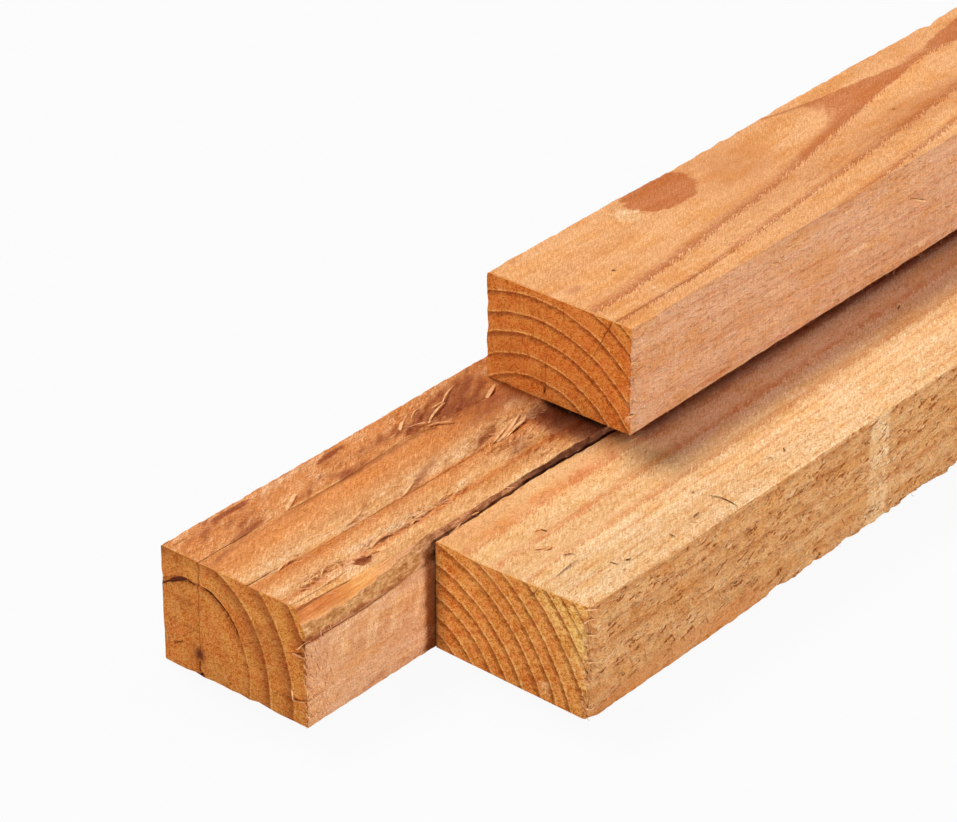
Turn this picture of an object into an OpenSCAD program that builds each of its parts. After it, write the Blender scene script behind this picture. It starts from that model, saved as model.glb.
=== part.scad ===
// Stack of three rough-sawn timber battens: two side by side on the ground
// and one laid across the joint between them, all running the same way.
// Frame: X across the stack, Y along the battens, Z up. The origin is on the
// ground under the middle of the stack. Each batten's front end faces -Y.

/* [Battens] */
// length of every batten
batten_length = 1800; // [600:100:4800]
// width of the left batten
left_w = 69; // [50:0.5:110]
// height of the left batten, which carries the top one
left_h = 48; // [30:0.5:80]
// width of the right batten
right_w = 71.5; // [50:0.5:110]
// height of the right batten at its inner face, beside the left batten
right_h_inner = 43; // [30:0.5:80]
// height of the right batten at its outer face
right_h_outer = 47; // [30:0.5:80]
// width of the top batten
top_w = 69; // [50:0.5:110]
// height of the top batten
top_h = 44.5; // [30:0.5:80]

/* [Stacking] */
// gap between the two lower battens
side_gap = 0.6; // [0.3:0.1:0.9]
// how far the right batten's front end lies behind the left one's
right_setback = 68; // [0:1:200]
// how far the top batten's front end lies behind the left one's
top_setback = 167; // [0:1:400]
// how far the top batten's side lies in from the left batten's side
top_inset = 10.6; // [0:0.2:20]
// turn of the top batten on the stack, in degrees
top_turn = 0.15; // [0:0.05:0.3]

/* [End cuts] */
// how far out of square the right batten's front end is sawn, in degrees
right_end_skew = 1.5; // [0:0.1:4]
// how far out of square the top batten's front end is sawn, in degrees
top_end_skew = 0.3; // [0:0.1:4]

/* [Waney edge] */
// distance of the pith from the left batten's left face
pith_x = 17; // [10:0.5:30]
// height of the pith in the left batten
pith_z = 8; // [4:0.5:20]
// radius of the peeled log surface at the front end
peel_r = 60.5; // [58:0.1:62]
// how far the middle of the peeled surface lies left of the pith
peel_shift_x = 5; // [0:0.5:10]
// how far the middle of the peeled surface lies above the pith
peel_shift_z = 8.5; // [0:0.5:14]
// length over which the peeled surface runs out to the corner
peel_run = 62; // [30:1:120]
// radius of the flattened bark that is left below and behind it
bark_r = 90; // [70:1:120]
// height of the bark's middle
bark_z = 31; // [26:0.5:33]
// height of the line where bark meets the sawn side, at the front end
bark_line_z = 35.5; // [34:0.5:40]
// length over which the bark runs out to the corner
bark_run = 900; // [300:10:1600]

/* [Ring shake] */
// radius of the growth ring that has come apart
shake_r = 22; // [15:0.5:28]
// height of that ring's middle above the pith
shake_rise = 8; // [4:0.5:12]
// opening of the wide part of the shake
shake_open = 1.4; // [0.6:0.1:2.5]
// opening of its fine continuation
shake_fine = 0.6; // [0.3:0.1:1.2]
// length of unbroken wood between the wide and the fine part
shake_bridge = 2.4; // [1:0.1:5]
// how far both run into the end
shake_depth = 30; // [10:1:60]
// direction in which the fine part stops, in degrees above level
shake_stop = 24; // [10:1:50]

/* [Drying checks] */
// width of the heart check through the left batten's pith
heart_check_w = 0.5; // [0.3:0.1:1.2]
// how far the heart check runs into the end
heart_check_depth = 14; // [5:1:40]
// length of the same check along the left batten's top
heart_check_run = 150; // [40:5:400]
// depth of that check below the top
heart_check_top = 7; // [3:0.5:15]
// how far right of the pith the heart check passes
heart_check_x = 0.8; // [0:0.1:2]
// lean of the heart check, in degrees
heart_check_lean = 1.5; // [0:0.1:4]
// distance of the second top check from the left face
second_check_x = 43; // [30:0.5:60]
// length of the second top check
second_check_run = 105; // [20:5:300]
// depth of the second top check
second_check_depth = 3; // [1:0.5:8]
// width of every fine check
fine_check_w = 0.4; // [0.3:0.1:0.8]
// how far the fine checks run into an end
fine_check_depth = 9; // [3:1:25]
// distance of the top batten's upright check from its left face
top_check_x = 27.5; // [15:0.5:45]
// height of the top batten's upright check
top_check_h = 14; // [6:0.5:25]

/* [Broken edges] */
// width of the notch at the foot of the heart check
foot_notch_w = 2.4; // [1:0.1:4]
// height of that notch
foot_notch_h = 1.2; // [0.5:0.1:3]
// depth of the bite in the left batten's upper left edge
bite_depth = 1.2; // [0.4:0.1:2]
// height of that bite below the top
bite_drop = 13; // [5:0.5:20]
// radius of the shallow tear-outs along the sawn edges
tear_r = 90; // [40:5:200]
// depth of those tear-outs
tear_depth = 1.1; // [0.4:0.1:2]
// depth of the chip in the top batten's upper left edge
edge_chip = 1.6; // [0.5:0.1:3]
// distance of that chip from the front end
edge_chip_y = 289; // [50:1:600]

/* [Parts] */
// which part to show

/* [Hidden] */
$fn = 96;
// the corners and the end cuts of the stack, from its left front corner
right_x = left_w + side_gap;
right_lead = right_w * tan(right_end_skew);
top_lead = top_w * tan(top_end_skew);
// height of the right batten under the top batten's outer edge
top_reach = max(0, top_inset + top_w - right_x);
reach_z = right_h_inner + (right_h_outer - right_h_inner) * min(1, top_reach / right_w);
right_high = (top_reach > 0) ? max(right_h_inner, reach_z) : 0;
top_z = max(left_h, right_high);
stack_w = right_x + right_w;
stack_l = top_setback + batten_length;
// the middles of the log surfaces in the left batten's section
peel_x = pith_x - peel_shift_x;
peel_z = pith_z + peel_shift_z;
corner_peel = sqrt(pow(left_w - peel_x, 2) + pow(left_h - peel_z, 2));
bark_x = left_w - sqrt(pow(bark_r, 2) - pow(bark_line_z - bark_z, 2));
corner_bark = sqrt(pow(left_w - bark_x, 2) + pow(left_h - bark_z, 2));
shake_x = pith_x - 1;
shake_z = pith_z + shake_rise;
log_clear = 2;
// where the heart check crosses the loose ring
cross_x = pith_x + heart_check_x + (shake_rise + shake_r) * tan(heart_check_lean);

// A sawn batten: its section along Y, cut to its plan at both ends.
module sawn(w, h_inner, h_outer, lead) {
  intersection() {
    translate([0, batten_length + 10, 0])
      rotate([90, 0, 0])
        linear_extrude(height = batten_length + 20)
          polygon([[0, 0], [w, 0], [w, h_outer], [0, h_inner]]);
    translate([0, 0, -1])
      linear_extrude(height = max(h_inner, h_outer) + 2)
        polygon([[-1, 0], [w + 1, -lead], [w + 1, batten_length - lead], [-1, batten_length]]);
  }
}

// A round body along Y, from y = 0, whose radius may change along it.
module along(r_front, r_back, len) {
  rotate([-90, 0, 0])
    cylinder(h = len, r1 = r_front, r2 = r_back);
}

// A straight check in an end face: w wide, h high, leaning, d into the end.
module check(w, h, d, lean) {
  rotate([0, lean, 0])
    translate([-w / 2, -5, 0])
      cube([w, d + 5, h]);
}

// A shallow tear-out along an edge that runs along Y, at the origin. It
// bites deep into the wood towards -X and +Z from a lower outer edge.
module tear(r, depth) {
  rotate([0, 45, 0])
    translate([r - depth, 0, -30])
      cylinder(h = 60, r = r);
}

// What the peeled log surface takes off the left batten's corner.
module peel_cut() {
  grow = (corner_peel - peel_r) / peel_run;
  difference() {
    translate([peel_x + 30, -1, peel_z + 8])
      cube([left_w, peel_run + 1, left_h]);
    translate([peel_x, -2, peel_z])
      along(peel_r - 2 * grow, corner_peel + log_clear * grow, peel_run + 2 + log_clear);
  }
}

// What the bark's rounded surface takes off the same corner.
module bark_cut() {
  grow = (corner_bark - bark_r) / bark_run;
  difference() {
    translate([left_w - 8, -1, bark_z])
      cube([12, bark_run + 1, left_h]);
    translate([bark_x, -2, bark_z])
      along(bark_r - 2 * grow, corner_bark + log_clear * grow, bark_run + 2 + log_clear);
  }
}

// The growth ring that has come apart: wide towards the left face, fine
// towards the right, with a bridge of sound wood at the heart check.
module shake_arc(open) {
  difference() {
    translate([shake_x, -2, shake_z])
      along(shake_r + open / 2, shake_r + open / 2, shake_depth + 2);
    translate([shake_x, -3, shake_z])
      along(shake_r - open / 2, shake_r - open / 2, shake_depth + 4);
  }
}

module ring_shake() {
  intersection() {
    shake_arc(shake_open);
    translate([-1, -3, shake_z + 10])
      cube([cross_x + 1 - shake_bridge / 2, shake_depth + 6, shake_r]);
  }
  intersection() {
    shake_arc(shake_fine);
    translate([cross_x + shake_bridge / 2, -3, shake_z + shake_r * sin(shake_stop)])
      cube([shake_r + 2, shake_depth + 6, shake_r]);
  }
}

// The check through the pith: full height in the end, then along the top.
module heart_check() {
  lean_x = (left_h - pith_z) * tan(heart_check_lean);
  translate([pith_x + heart_check_x, 0, pith_z])
    check(heart_check_w, left_h, heart_check_depth, heart_check_lean);
  translate([pith_x + heart_check_x, 0, -1])
    check(heart_check_w, pith_z + 1.5, heart_check_depth, 0);
  translate([pith_x + heart_check_x + lean_x, heart_check_run / 2, left_h])
    rotate([0, 0, 0.3])
      translate([-heart_check_w / 2, -heart_check_run / 2, -heart_check_top])
        cube([heart_check_w, heart_check_run, heart_check_top + 1]);
}

// A batten in the stack's frame, its front left lower corner at x, y, z.
module place(x, y, z, turn) {
  translate([x - stack_w / 2, y - stack_l / 2, z])
    rotate([0, 0, turn])
      children();
}

module left_batten() {
  color([0.86, 0.60, 0.38])
    place(0, 0, 0, 0)
      difference() {
        sawn(left_w, left_h, left_h, 0);
        peel_cut();
        bark_cut();
        ring_shake();
        heart_check();
        // the second check, along the top only
        translate([second_check_x, -1, left_h - second_check_depth])
          cube([fine_check_w, second_check_run + 1, second_check_depth + 1]);
        // short checks near the right side of the end
        translate([pith_x + 37, 0, pith_z + 1])
          check(fine_check_w, 10, fine_check_depth, 82);
        translate([pith_x + 23, 0, pith_z + 15])
          check(fine_check_w, 9, fine_check_depth, 68);
        // the notch at the foot of the heart check
        translate([pith_x + 1, -1, 0])
          rotate([-90, 0, 0])
            linear_extrude(height = heart_check_depth + 1)
              polygon([[-foot_notch_w / 2, 1], [foot_notch_w / 2, 1], [0, -foot_notch_h]]);
        // the bite in the upper left edge of the end
        translate([bite_depth - 6, -7, left_h - bite_drop])
          rotate([0, 0, 0])
            cylinder(h = 3.5, r = 9);
        // the torn lower edge of the right side
        translate([left_w, 52, 0])
          tear(tear_r, tear_depth);
      }
}

module right_batten() {
  color([0.90, 0.70, 0.44])
    place(right_x, right_setback, 0, 0)
      difference() {
        sawn(right_w, right_h_inner, right_h_outer, right_lead);
        // tear-outs along the lower outer edge
        for (y = [118, 139, 172, 207])
          translate([right_w, y, 0])
            tear(tear_r, tear_depth);
        // a fine check below the upper edge of the end
        translate([right_w * 0.64, 0, right_h_outer - 6])
          check(fine_check_w, 10, fine_check_depth, 28);
      }
}

module top_batten() {
  color([0.88, 0.62, 0.38])
    place(top_inset, top_setback, top_z, top_turn)
      difference() {
        sawn(top_w, top_h, top_h, top_lead);
        // the upright check from the bottom of the end
        translate([top_check_x, 0, -1])
          check(fine_check_w, top_check_h + 1, fine_check_depth, 1);
        // the slanting check near the upper right corner of the end
        translate([top_w - 15.5, 0, top_h - 13])
          check(fine_check_w, 18, fine_check_depth, 28);
        // two short checks under the upper edge
        translate([top_w * 0.53, 0, top_h - 7.5])
          check(fine_check_w, 5, fine_check_depth, 0);
        translate([top_w * 0.25, 0, top_h - 25])
          check(fine_check_w, 4.5, fine_check_depth, 0);
        // the chip in the upper left edge
        translate([edge_chip - 9, edge_chip_y, top_h - 2.5])
          cylinder(h = 5, r = 9);
        // a lifted splinter's bed on the right side
        translate([top_w + 7.2, 183, top_h / 2 + 4])
          rotate([0, 90, 0])
            rotate([0, 0, 0])
              sphere(r = 8);
      }
}

left_batten();
right_batten();
top_batten();
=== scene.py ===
"""A stack of three rough-sawn timber battens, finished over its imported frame.

Each batten is one closed mesh whose relief (torn grain, checks, the ring shake and the
waney edge) is worked out along the sawn faces. The growth rings are one solid field that
runs through the whole batten, so the lines on its end carry on along its faces.
"""

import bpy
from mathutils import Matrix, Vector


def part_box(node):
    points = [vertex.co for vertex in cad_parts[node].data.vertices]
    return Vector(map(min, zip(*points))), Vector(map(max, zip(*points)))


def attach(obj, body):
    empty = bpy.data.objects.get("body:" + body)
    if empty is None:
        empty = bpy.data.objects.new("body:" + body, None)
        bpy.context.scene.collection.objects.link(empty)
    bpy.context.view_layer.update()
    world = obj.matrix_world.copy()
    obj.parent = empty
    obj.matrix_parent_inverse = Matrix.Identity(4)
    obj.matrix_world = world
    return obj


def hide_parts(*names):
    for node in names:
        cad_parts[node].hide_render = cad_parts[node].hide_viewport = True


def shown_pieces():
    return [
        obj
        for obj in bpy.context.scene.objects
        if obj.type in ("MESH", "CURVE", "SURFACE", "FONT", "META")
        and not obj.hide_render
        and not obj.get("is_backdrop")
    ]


bl_info = {
    "name": "Timber batten stack",
    "version": (1, 0, 0),
    "blender": (4, 5, 0),
    "location": "View3D > Sidebar > Timber",
    "description": "Builds a stack of rough-sawn softwood battens and its studio",
    "category": "Add Mesh",
}

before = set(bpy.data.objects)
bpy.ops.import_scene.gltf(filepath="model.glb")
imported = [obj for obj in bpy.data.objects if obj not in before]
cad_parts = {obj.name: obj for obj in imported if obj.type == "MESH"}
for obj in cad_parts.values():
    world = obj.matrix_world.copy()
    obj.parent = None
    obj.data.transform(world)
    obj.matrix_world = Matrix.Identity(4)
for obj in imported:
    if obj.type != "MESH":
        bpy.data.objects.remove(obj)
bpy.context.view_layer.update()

import math

import bpy
import numpy as np
from bpy.props import FloatProperty, FloatVectorProperty, IntProperty, PointerProperty
from mathutils import Vector, geometry
from numpy import clip, interp, maximum, minimum, where

MM = 0.001
LEFT, TOP, RIGHT, BOTTOM = range(4)
# the length in mm that the shaders' own coordinates are counted in
REACH = 200.0
# how far the shaders spread noise about its middle, and the base that tones are raised from
CONTRAST, TONE_BASE = 8, 2.718
# more growth rings than any batten has
RINGS = 99.0
# how far the relief may go in and out, and where a batten rests on this one, in mm
DEEPEST, HIGHEST, UNDER_SEAT = -6, 0.45, -0.03
# half the studio floor's side and how far it lies below the stack, in metres
FLOOR_REACH, FLOOR_DROP = 14.0, 0.0004
# how white the floor looks to the camera
FLOOR_GLOW = 0.94
# from the left batten's front lower corner to the camera, in metres
TO_CAMERA = (0.88693, -0.88233, 0.822)


def tint(red, green, blue):
    """A colour picked on a screen, as the linear values that shaders use."""
    parts = [c / 255 for c in (red, green, blue)]
    return tuple(c / 12.92 if c <= 0.04045 else ((c + 0.055) / 1.055) ** 2.4 for c in parts)


# ---------------------------------------------------------------- number helpers


def scramble(i, j, k, seed):
    """A repeatable random number from 0 to 1 for each lattice cell."""
    n = (i * 374761393 + j * 668265263 + k * 362437 + seed * 144665) & 0xFFFFFFFF
    n = ((n ^ (n >> 13)) * 1274126177) & 0xFFFFFFFF
    n = ((n ^ (n >> 16)) * 2246822519) & 0xFFFFFFFF
    return ((n ^ (n >> 15)) & 0xFFFFFF) / float(0xFFFFFF)


def noise(x, y, z, seed=0):
    """Smooth noise from -1 to 1."""
    x, y, z = np.broadcast_arrays(*[np.asarray(c, float) for c in (x, y, z)])
    i, j, k = (np.floor(c).astype(np.int64) for c in (x, y, z))
    u, v, w = x - i, y - j, z - k
    u, v, w = (c * c * c * (c * (c * 6 - 15) + 10) for c in (u, v, w))
    total = 0.0
    for a in (0, 1):
        for b in (0, 1):
            for c in (0, 1):
                part = (u if a else 1 - u) * (v if b else 1 - v) * (w if c else 1 - w)
                total = total + part * scramble(i + a, j + b, k + c, seed)
    return total * 2 - 1


def layered(x, y, z, seed=0, layers=3):
    """Noise with finer noise laid over it."""
    total, weight, size = 0.0, 0.0, 1.0
    for n in range(layers):
        total = total + noise(x * size, y * size, z * size, seed + n * 17) / size
        weight += 1 / size
        size *= 2.1
    return total / weight


def ease(value, low, high):
    """0 below low, 1 above high, and a smooth step between them."""
    t = clip((value - low) / (high - low), 0, 1)
    return t * t * (3 - 2 * t)


def fall(value, low, high):
    """1 below low, 0 above high."""
    return 1 - ease(value, low, high)


def hump(value, at, half):
    """1 at a value, falling away on both sides of it."""
    return np.exp(-(((value - at) / half) ** 2))


def spot(u, v, at_u, at_v, half_u, half_v, turn=0.0):
    """A soft oval patch: 1 in its middle, 0 well outside it."""
    du, dv = u - at_u, v - at_v
    if turn:
        c, s = math.cos(math.radians(turn)), math.sin(math.radians(turn))
        du, dv = c * du + s * dv, c * dv - s * du
    return np.exp(-((du / half_u) ** 2) - (dv / half_v) ** 2)


def dab_on(mask, u, v, dabs):
    """Adds soft patches to a mask. Each dab is its strength, then what spot takes."""
    for much, *patch in dabs:
        mask = mask + much * spot(u, v, *patch)
    return mask


def dab_over(mask, u, v, dabs):
    """Raises a mask to soft patches, given in the same way."""
    for much, *patch in dabs:
        mask = maximum(mask, much * spot(u, v, *patch))
    return mask


def blank(x):
    return np.zeros(np.shape(x))


def run(value, start, stop, soft):
    """1 between start and stop, with soft ends."""
    return ease(value, start - soft, start + soft) * fall(value, stop - soft, stop + soft)


def near_line(u, v, points):
    """Distance from each (u, v) to a line through the points, and 0 to 1 along it."""
    best = np.full(np.shape(u), 1e9)
    along = np.zeros(np.shape(u))
    steps = [math.dist(a, b) for a, b in zip(points, points[1:])]
    total, done = sum(steps), 0.0
    for (a, b), size in zip(zip(points, points[1:]), steps):
        du, dv = (b[0] - a[0]) / size, (b[1] - a[1]) / size
        t = clip((u - a[0]) * du + (v - a[1]) * dv, 0, size)
        d = np.hypot(u - a[0] - t * du, v - a[1] - t * dv)
        closer = d < best
        best = where(closer, d, best)
        along = where(closer, (done + t) / total, along)
        done += size
    return best, along


def spread(width, step, edge=0.45, close=()):
    """Positions across a face from 0 up to its width, closer near both arrises and
    inside each (from, to, step) stretch of close."""
    out, at = [0.0], 0.0
    while at < width:
        from_edge = min(at, width - at)
        size = edge + (step - edge) * min(1.0, from_edge / 3.5)
        for low, high, fine in close:
            if low <= at <= high:
                size = min(size, fine)
            elif at < low < at + size:
                size = low - at + 1e-6
        at += size
        out.append(at)
    out = np.array(out)
    return out[:-1] * width / out[-1]


def rows_along(length, stretches):
    """Positions along a batten: (up to, step) stretches, eased into each other."""
    out, at, step = [0.0], 0.0, stretches[0][1]
    while at < length:
        goal = next((s for stop, s in stretches if at < stop), stretches[-1][1])
        step += (goal - step) * (0.5 if goal < step else 0.06)
        at += step
        out.append(at)
    out = np.array(out)
    return out * length / out[-1]


# ---------------------------------------------------------------- properties


def colour(name, what, value):
    return FloatVectorProperty(
        name=name, description=what, subtype="COLOR", size=3, min=0, max=1, default=value
    )


def share(name, what, value, top=1.0):
    return FloatProperty(name=name, description=what, default=value, min=0, max=top)


def size_in_mm(name, what, value):
    return FloatProperty(
        name=name, description=what, default=value * MM, min=0, unit="LENGTH", precision=5
    )


def in_degrees(name, what, degrees):
    return FloatProperty(name=name, description=what, default=math.radians(degrees), subtype="ANGLE")


class TimberLook(bpy.types.PropertyGroup):
    """Colours and strengths of one batten's wood."""

    early: colour("Earlywood", "Pale wood between the ring lines, on the wide faces", (0.8, 0.5, 0.3))
    late: colour("Latewood", "Dark wood of the ring lines, on the wide faces", (0.6, 0.3, 0.12))
    side_early: colour("Side earlywood", "Pale wood on the narrow faces", (0.7, 0.42, 0.25))
    side_late: colour("Side latewood", "Dark wood on the narrow faces", (0.6, 0.3, 0.15))
    end_early: colour("End earlywood", "Pale wood on the cut ends", (0.6, 0.25, 0.07))
    end_late: colour("End latewood", "Ring lines on the cut ends", (0.35, 0.1, 0.02))
    end_sap: colour("End sapwood", "Outer wood on the cut ends", (0.55, 0.27, 0.08))
    stain: colour("Stain", "Reddish patches", (0.5, 0.2, 0.08))
    pale: colour("Bleached wood", "Torn, pale fibres", (0.9, 0.65, 0.42))
    # pit: the colour of painted shade in the bottoms of pits, checks and hollows
    pit: colour("Hollows", "Bottoms of pits and checks", (0.12, 0.045, 0.018))
    end_line: colour("End ring edge", "Darkest edge of each ring on the cut ends", (0.25, 0.07, 0.02))
    # end_bright: pale earlywood outside each ring, made brighter as a painted highlight of the ring's raised
    # edge
    end_bright: colour("End ring rim", "Bright rim outside each ring on the cut ends", (0.8, 0.4, 0.14))
    late_from: share("Latewood start", "Where in a ring the dark wood begins", 0.45)
    line_share: share("Ring edge", "Share of a ring taken by its dark edge on the cut ends", 0.12)
    dashes: share("Broken latewood", "Strength of the dark dashes along the rings", 0.6)
    lines: share("Ring lines", "Strength of the thin ring lines on the cut ends", 0.7)
    streaks: share("Streaks", "How strongly the fibres streak the colour", 1.0, 3)
    crumbs: share("Crumbs", "Fine roughness outside the torn places", 0.3, 3)
    top_bump: share("Top roughness", "Strength of the fine bumps on the wide faces", 1.0, 3)
    teeth: share("Ring teeth", "How ragged the ring lines are on the long faces", 0.4, 3)
    slant: share("Slanting marks", "Strength of the saw's marks across the grain", 0.6, 3)
    fibrous: share("Fibres", "Strength of the streaks along the grain", 0.7, 3)
    flake_from: share("Flake threshold", "Higher leaves fewer raised flakes", 0.55)
    flake_lit: share("Flake light", "Brightness of the raised flakes", 1.0, 3)
    flake_dark: share("Flake shadow", "Darkness beside the raised flakes", 1.0, 3)
    flake_turn: in_degrees("Flake turn", "Slant of the flakes to the grain", 0.0)
    mottle: share("Mottle", "How strong the warmer patches are on the long faces", 1.0, 3)
    flake_lean: share("Flake lean", "How far the flakes lean on the long sides, in radians", 0.0, 1)
    flake_width: size_in_mm("Flake width", "Width of a raised flake", 1.5)
    rings_from: share("First clear ring", "Rings inside this one are faint", 0.0, RINGS)
    sap_from: share("Sapwood ring", "Ring at which sapwood starts", RINGS, RINGS)


class StackSettings(bpy.types.PropertyGroup):
    """What the whole stack shares."""

    left: PointerProperty(type=TimberLook)
    right: PointerProperty(type=TimberLook)
    top: PointerProperty(type=TimberLook)
    inner_height: size_in_mm("Inner height", "Right batten's height beside the left one", 43)
    end_skew: in_degrees("Right end skew", "How far out of square the right batten's ends are sawn", 1.5)
    top_skew: in_degrees("Top end skew", "How far out of square the top batten's ends are sawn", 0.3)
    top_turn: in_degrees("Top turn", "Turn of the top batten on the stack", 0.15)
    fine_step: size_in_mm("Relief step", "Finest spacing of the relief along the grain", 0.95)
    cross_step: size_in_mm("Cross step", "Spacing of the relief across the seen faces", 0.95)
    fibre_length: size_in_mm("Fibre length", "Length of a middling loose fibre", 2.6)
    fibre_girth: share("Fibre girth", "Fibre radius as a share of its length", 0.05)
    fibre_seed: IntProperty(name="Fibre seed", description="Seed of the loose fibres", default=7)


class StudioSettings(bpy.types.PropertyGroup):
    """Floor, lamps and camera."""

    floor: colour("Floor", "Colour of the floor", (0.45, 0.45, 0.45))
    ambient: share("Ambient", "Strength of the light from all round", 0.08, 4)
    key: share("Key light", "Strength of the soft light from the upper left", 2.8, 20)
    fill: share("Side light", "Strength of the light on the long sides", 2.6, 20)
    front: share("Front light", "Strength of the light on the cut ends", 2.6, 20)
    back: share("Back light", "Strength of the soft light from behind", 1.0, 20)
    lens: FloatProperty(name="Lens", description="Focal length", default=156.15, subtype="DISTANCE_CAMERA")
    view_turn: in_degrees("View turn", "Camera's turn round the stack", 40)
    view_tip: in_degrees("View height", "Camera's angle above level", 30)


# ---------------------------------------------------------------- battens


class Batten:
    """One batten's sizes, its place in the stack and its wood, all in millimetres.

    x runs across it from its left face, y along it from its front end and z up from its
    underside."""

    side_checks = ()
    shades = ()
    # spacing of the relief's rows: (up to, step) near the front end, then the far step; and where
    # the columns of the upper face lie closer: (from, to, step)
    stretches = ()
    far_step = 11
    seams = ()
    # how far along its upper face another batten begins to rest on it
    carries_from = None
    # loose fibres: how many, the ranges they start in (z None is on the upper face), which way
    # they lie, which way they rise and how long they are
    fibres = ()

    def __init__(self, node, turn=0, skew=0, inner=None, length=None):
        low, high = (np.array(p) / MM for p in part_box(node))
        self.node = node
        self.turn = turn
        self.length = length or high[1] - low[1]
        self.right_height = high[2] - low[2]
        self.left_height = inner or self.right_height
        cos, sin = math.cos(turn), math.sin(turn)
        lead = math.tan(skew)
        self.width = (high[0] - low[0] - self.length * sin) / (cos + lead * sin)
        self.lead = self.width * lead
        x = high[0] - self.width * cos - self.lead * sin
        self.place = np.array([x, low[1] - min(0, self.width * sin - self.lead * cos), low[2]])

    def top_at(self, x):
        return self.left_height + (self.right_height - self.left_height) * x / self.width

    def to_stack(self, x, y, z):
        """Batten millimetres to stack metres, with the ends' skew put in."""
        y = y - self.lead * x / self.width
        cos, sin = math.cos(self.turn), math.sin(self.turn)
        out = np.broadcast_arrays(cos * x - sin * y, sin * x + cos * y, z)
        return (np.stack(out, axis=-1) + self.place) * MM

    # what each batten's own wood does; the three below fill these in. end_grain is the ends'
    # roughness in mm, how strong, wide and high their blotches are, and the seed
    end_grain = (0.15, 0.25, 9, 9, 81)
    radii = (0, 10, 20)
    oval = (0, 0, 0)
    steady = 100
    end_checks = ()
    top_checks = ()

    def pith(self, y):
        return 0, 0

    def bend(self, x, y, z):
        return 0

    def rings(self, x, y, z):
        """How many growth rings lie between the pith and a point."""
        px, pz = self.pith(y)
        angle = np.arctan2(z - pz, x - px)
        even, slant, shift = self.oval
        shape = 1 + even * np.cos(2 * angle) + slant * np.sin(2 * angle) + shift * np.cos(angle)
        reach = np.hypot(x - px, z - pz) / shape + self.bend(x, y, z)
        sway = 0.9 * noise(x / 60, y / 170, z / 60, 3) + 0.4 * noise(x / 16, y / 70, z / 16, 4)
        reach = reach + sway * ease(y, self.steady, self.steady + 160)
        reach = reach + 0.2 * noise(x / 5, y / 30, z / 5, 5)
        return interp(reach, self.radii, np.arange(len(self.radii), dtype=float))

    def face_rings(self, face, x, y, rings):
        """Rings as they show on a long face, where that differs from the field."""
        return rings

    def section(self, x, y, z):
        """Moves the sawn corner in where the log's own surface shows."""
        nothing = blank(x)
        return x, z, nothing, nothing

    def paint(self, face, x, y, z, rings):
        """Relief in mm and the stain, pale, deep and torn masks of a long face."""
        raise NotImplementedError

    def paint_end(self, x, z, relief, stain, pale, deep):
        """Adds what only the front end shows."""
        raise NotImplementedError

    def end_masks(self, x, z, front):
        """Relief in mm and the stain, pale and deep masks of a cut end."""
        rough, blotch, wide, high, seed = self.end_grain
        nothing = blank(x)
        relief = rough * layered(x / 0.9, z / 0.9, 3, seed, 2) + 0.1 * noise(x / 7, z / 7, 1, seed + 1)
        stain = blotch * ease(layered(x / wide, z / high, 5, seed + 2, 2), 0, 0.5)
        if not front:
            return relief, stain, nothing, nothing
        return self.paint_end(x, z, self.cut_checks(x, z, relief), stain, nothing, nothing)

    def cut_checks(self, x, z, relief):
        """Grooves for the end's checks, as deep as they are wide and dark."""
        for axis, points, half, strength, *swell in self.end_checks:
            line = points if axis == "x" else [(b, a) for a, b in points]
            off, along = near_line(x, z, line)
            wide = half + 0.25
            if swell:
                wide = wide + swell[0][2] * run(x, swell[0][0], swell[0][1], 1)
            gap = hump(off, 0, wide) * (1 - 0.7 * ease(along, 0.85, 1))
            relief -= min(1, 0.2 + strength) * minimum(0.2 + 1 * wide, 1.3) * gap
        return relief


def saw_relief(x, y, z, fuzz, tear, tear_from, seed):
    """Rough-sawn relief in mm and how deep each pit is: fuzz is the depth of the raised
    fibres, tear that of the torn hollows."""
    fibres = layered(x / 1.1, y / 9, z / 1.1, seed, 3)
    ripple = layered(x / 4.5, y / 26, z / 4.5, seed + 5, 2)
    long_wave = noise(x / 40, y / 75, z / 40, seed + 9)
    step = np.mod(y / 8.5 + 2.6 * noise(x / 2.1, y / 34, z / 2.1, seed + 11), 1)
    scales = ease(step, 0, 0.86) * fall(step, 0.86, 1)
    torn = layered(x / 2, y / 6.5, z / 2, seed + 13, 2)
    pits = ease(torn, tear_from, tear_from + 0.22)
    relief = fuzz * (0.55 * fibres + 0.45 * ripple) + 0.12 * long_wave
    relief = relief + fuzz * 0.7 * (scales - 0.5) - tear * pits
    return relief, pits


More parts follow.
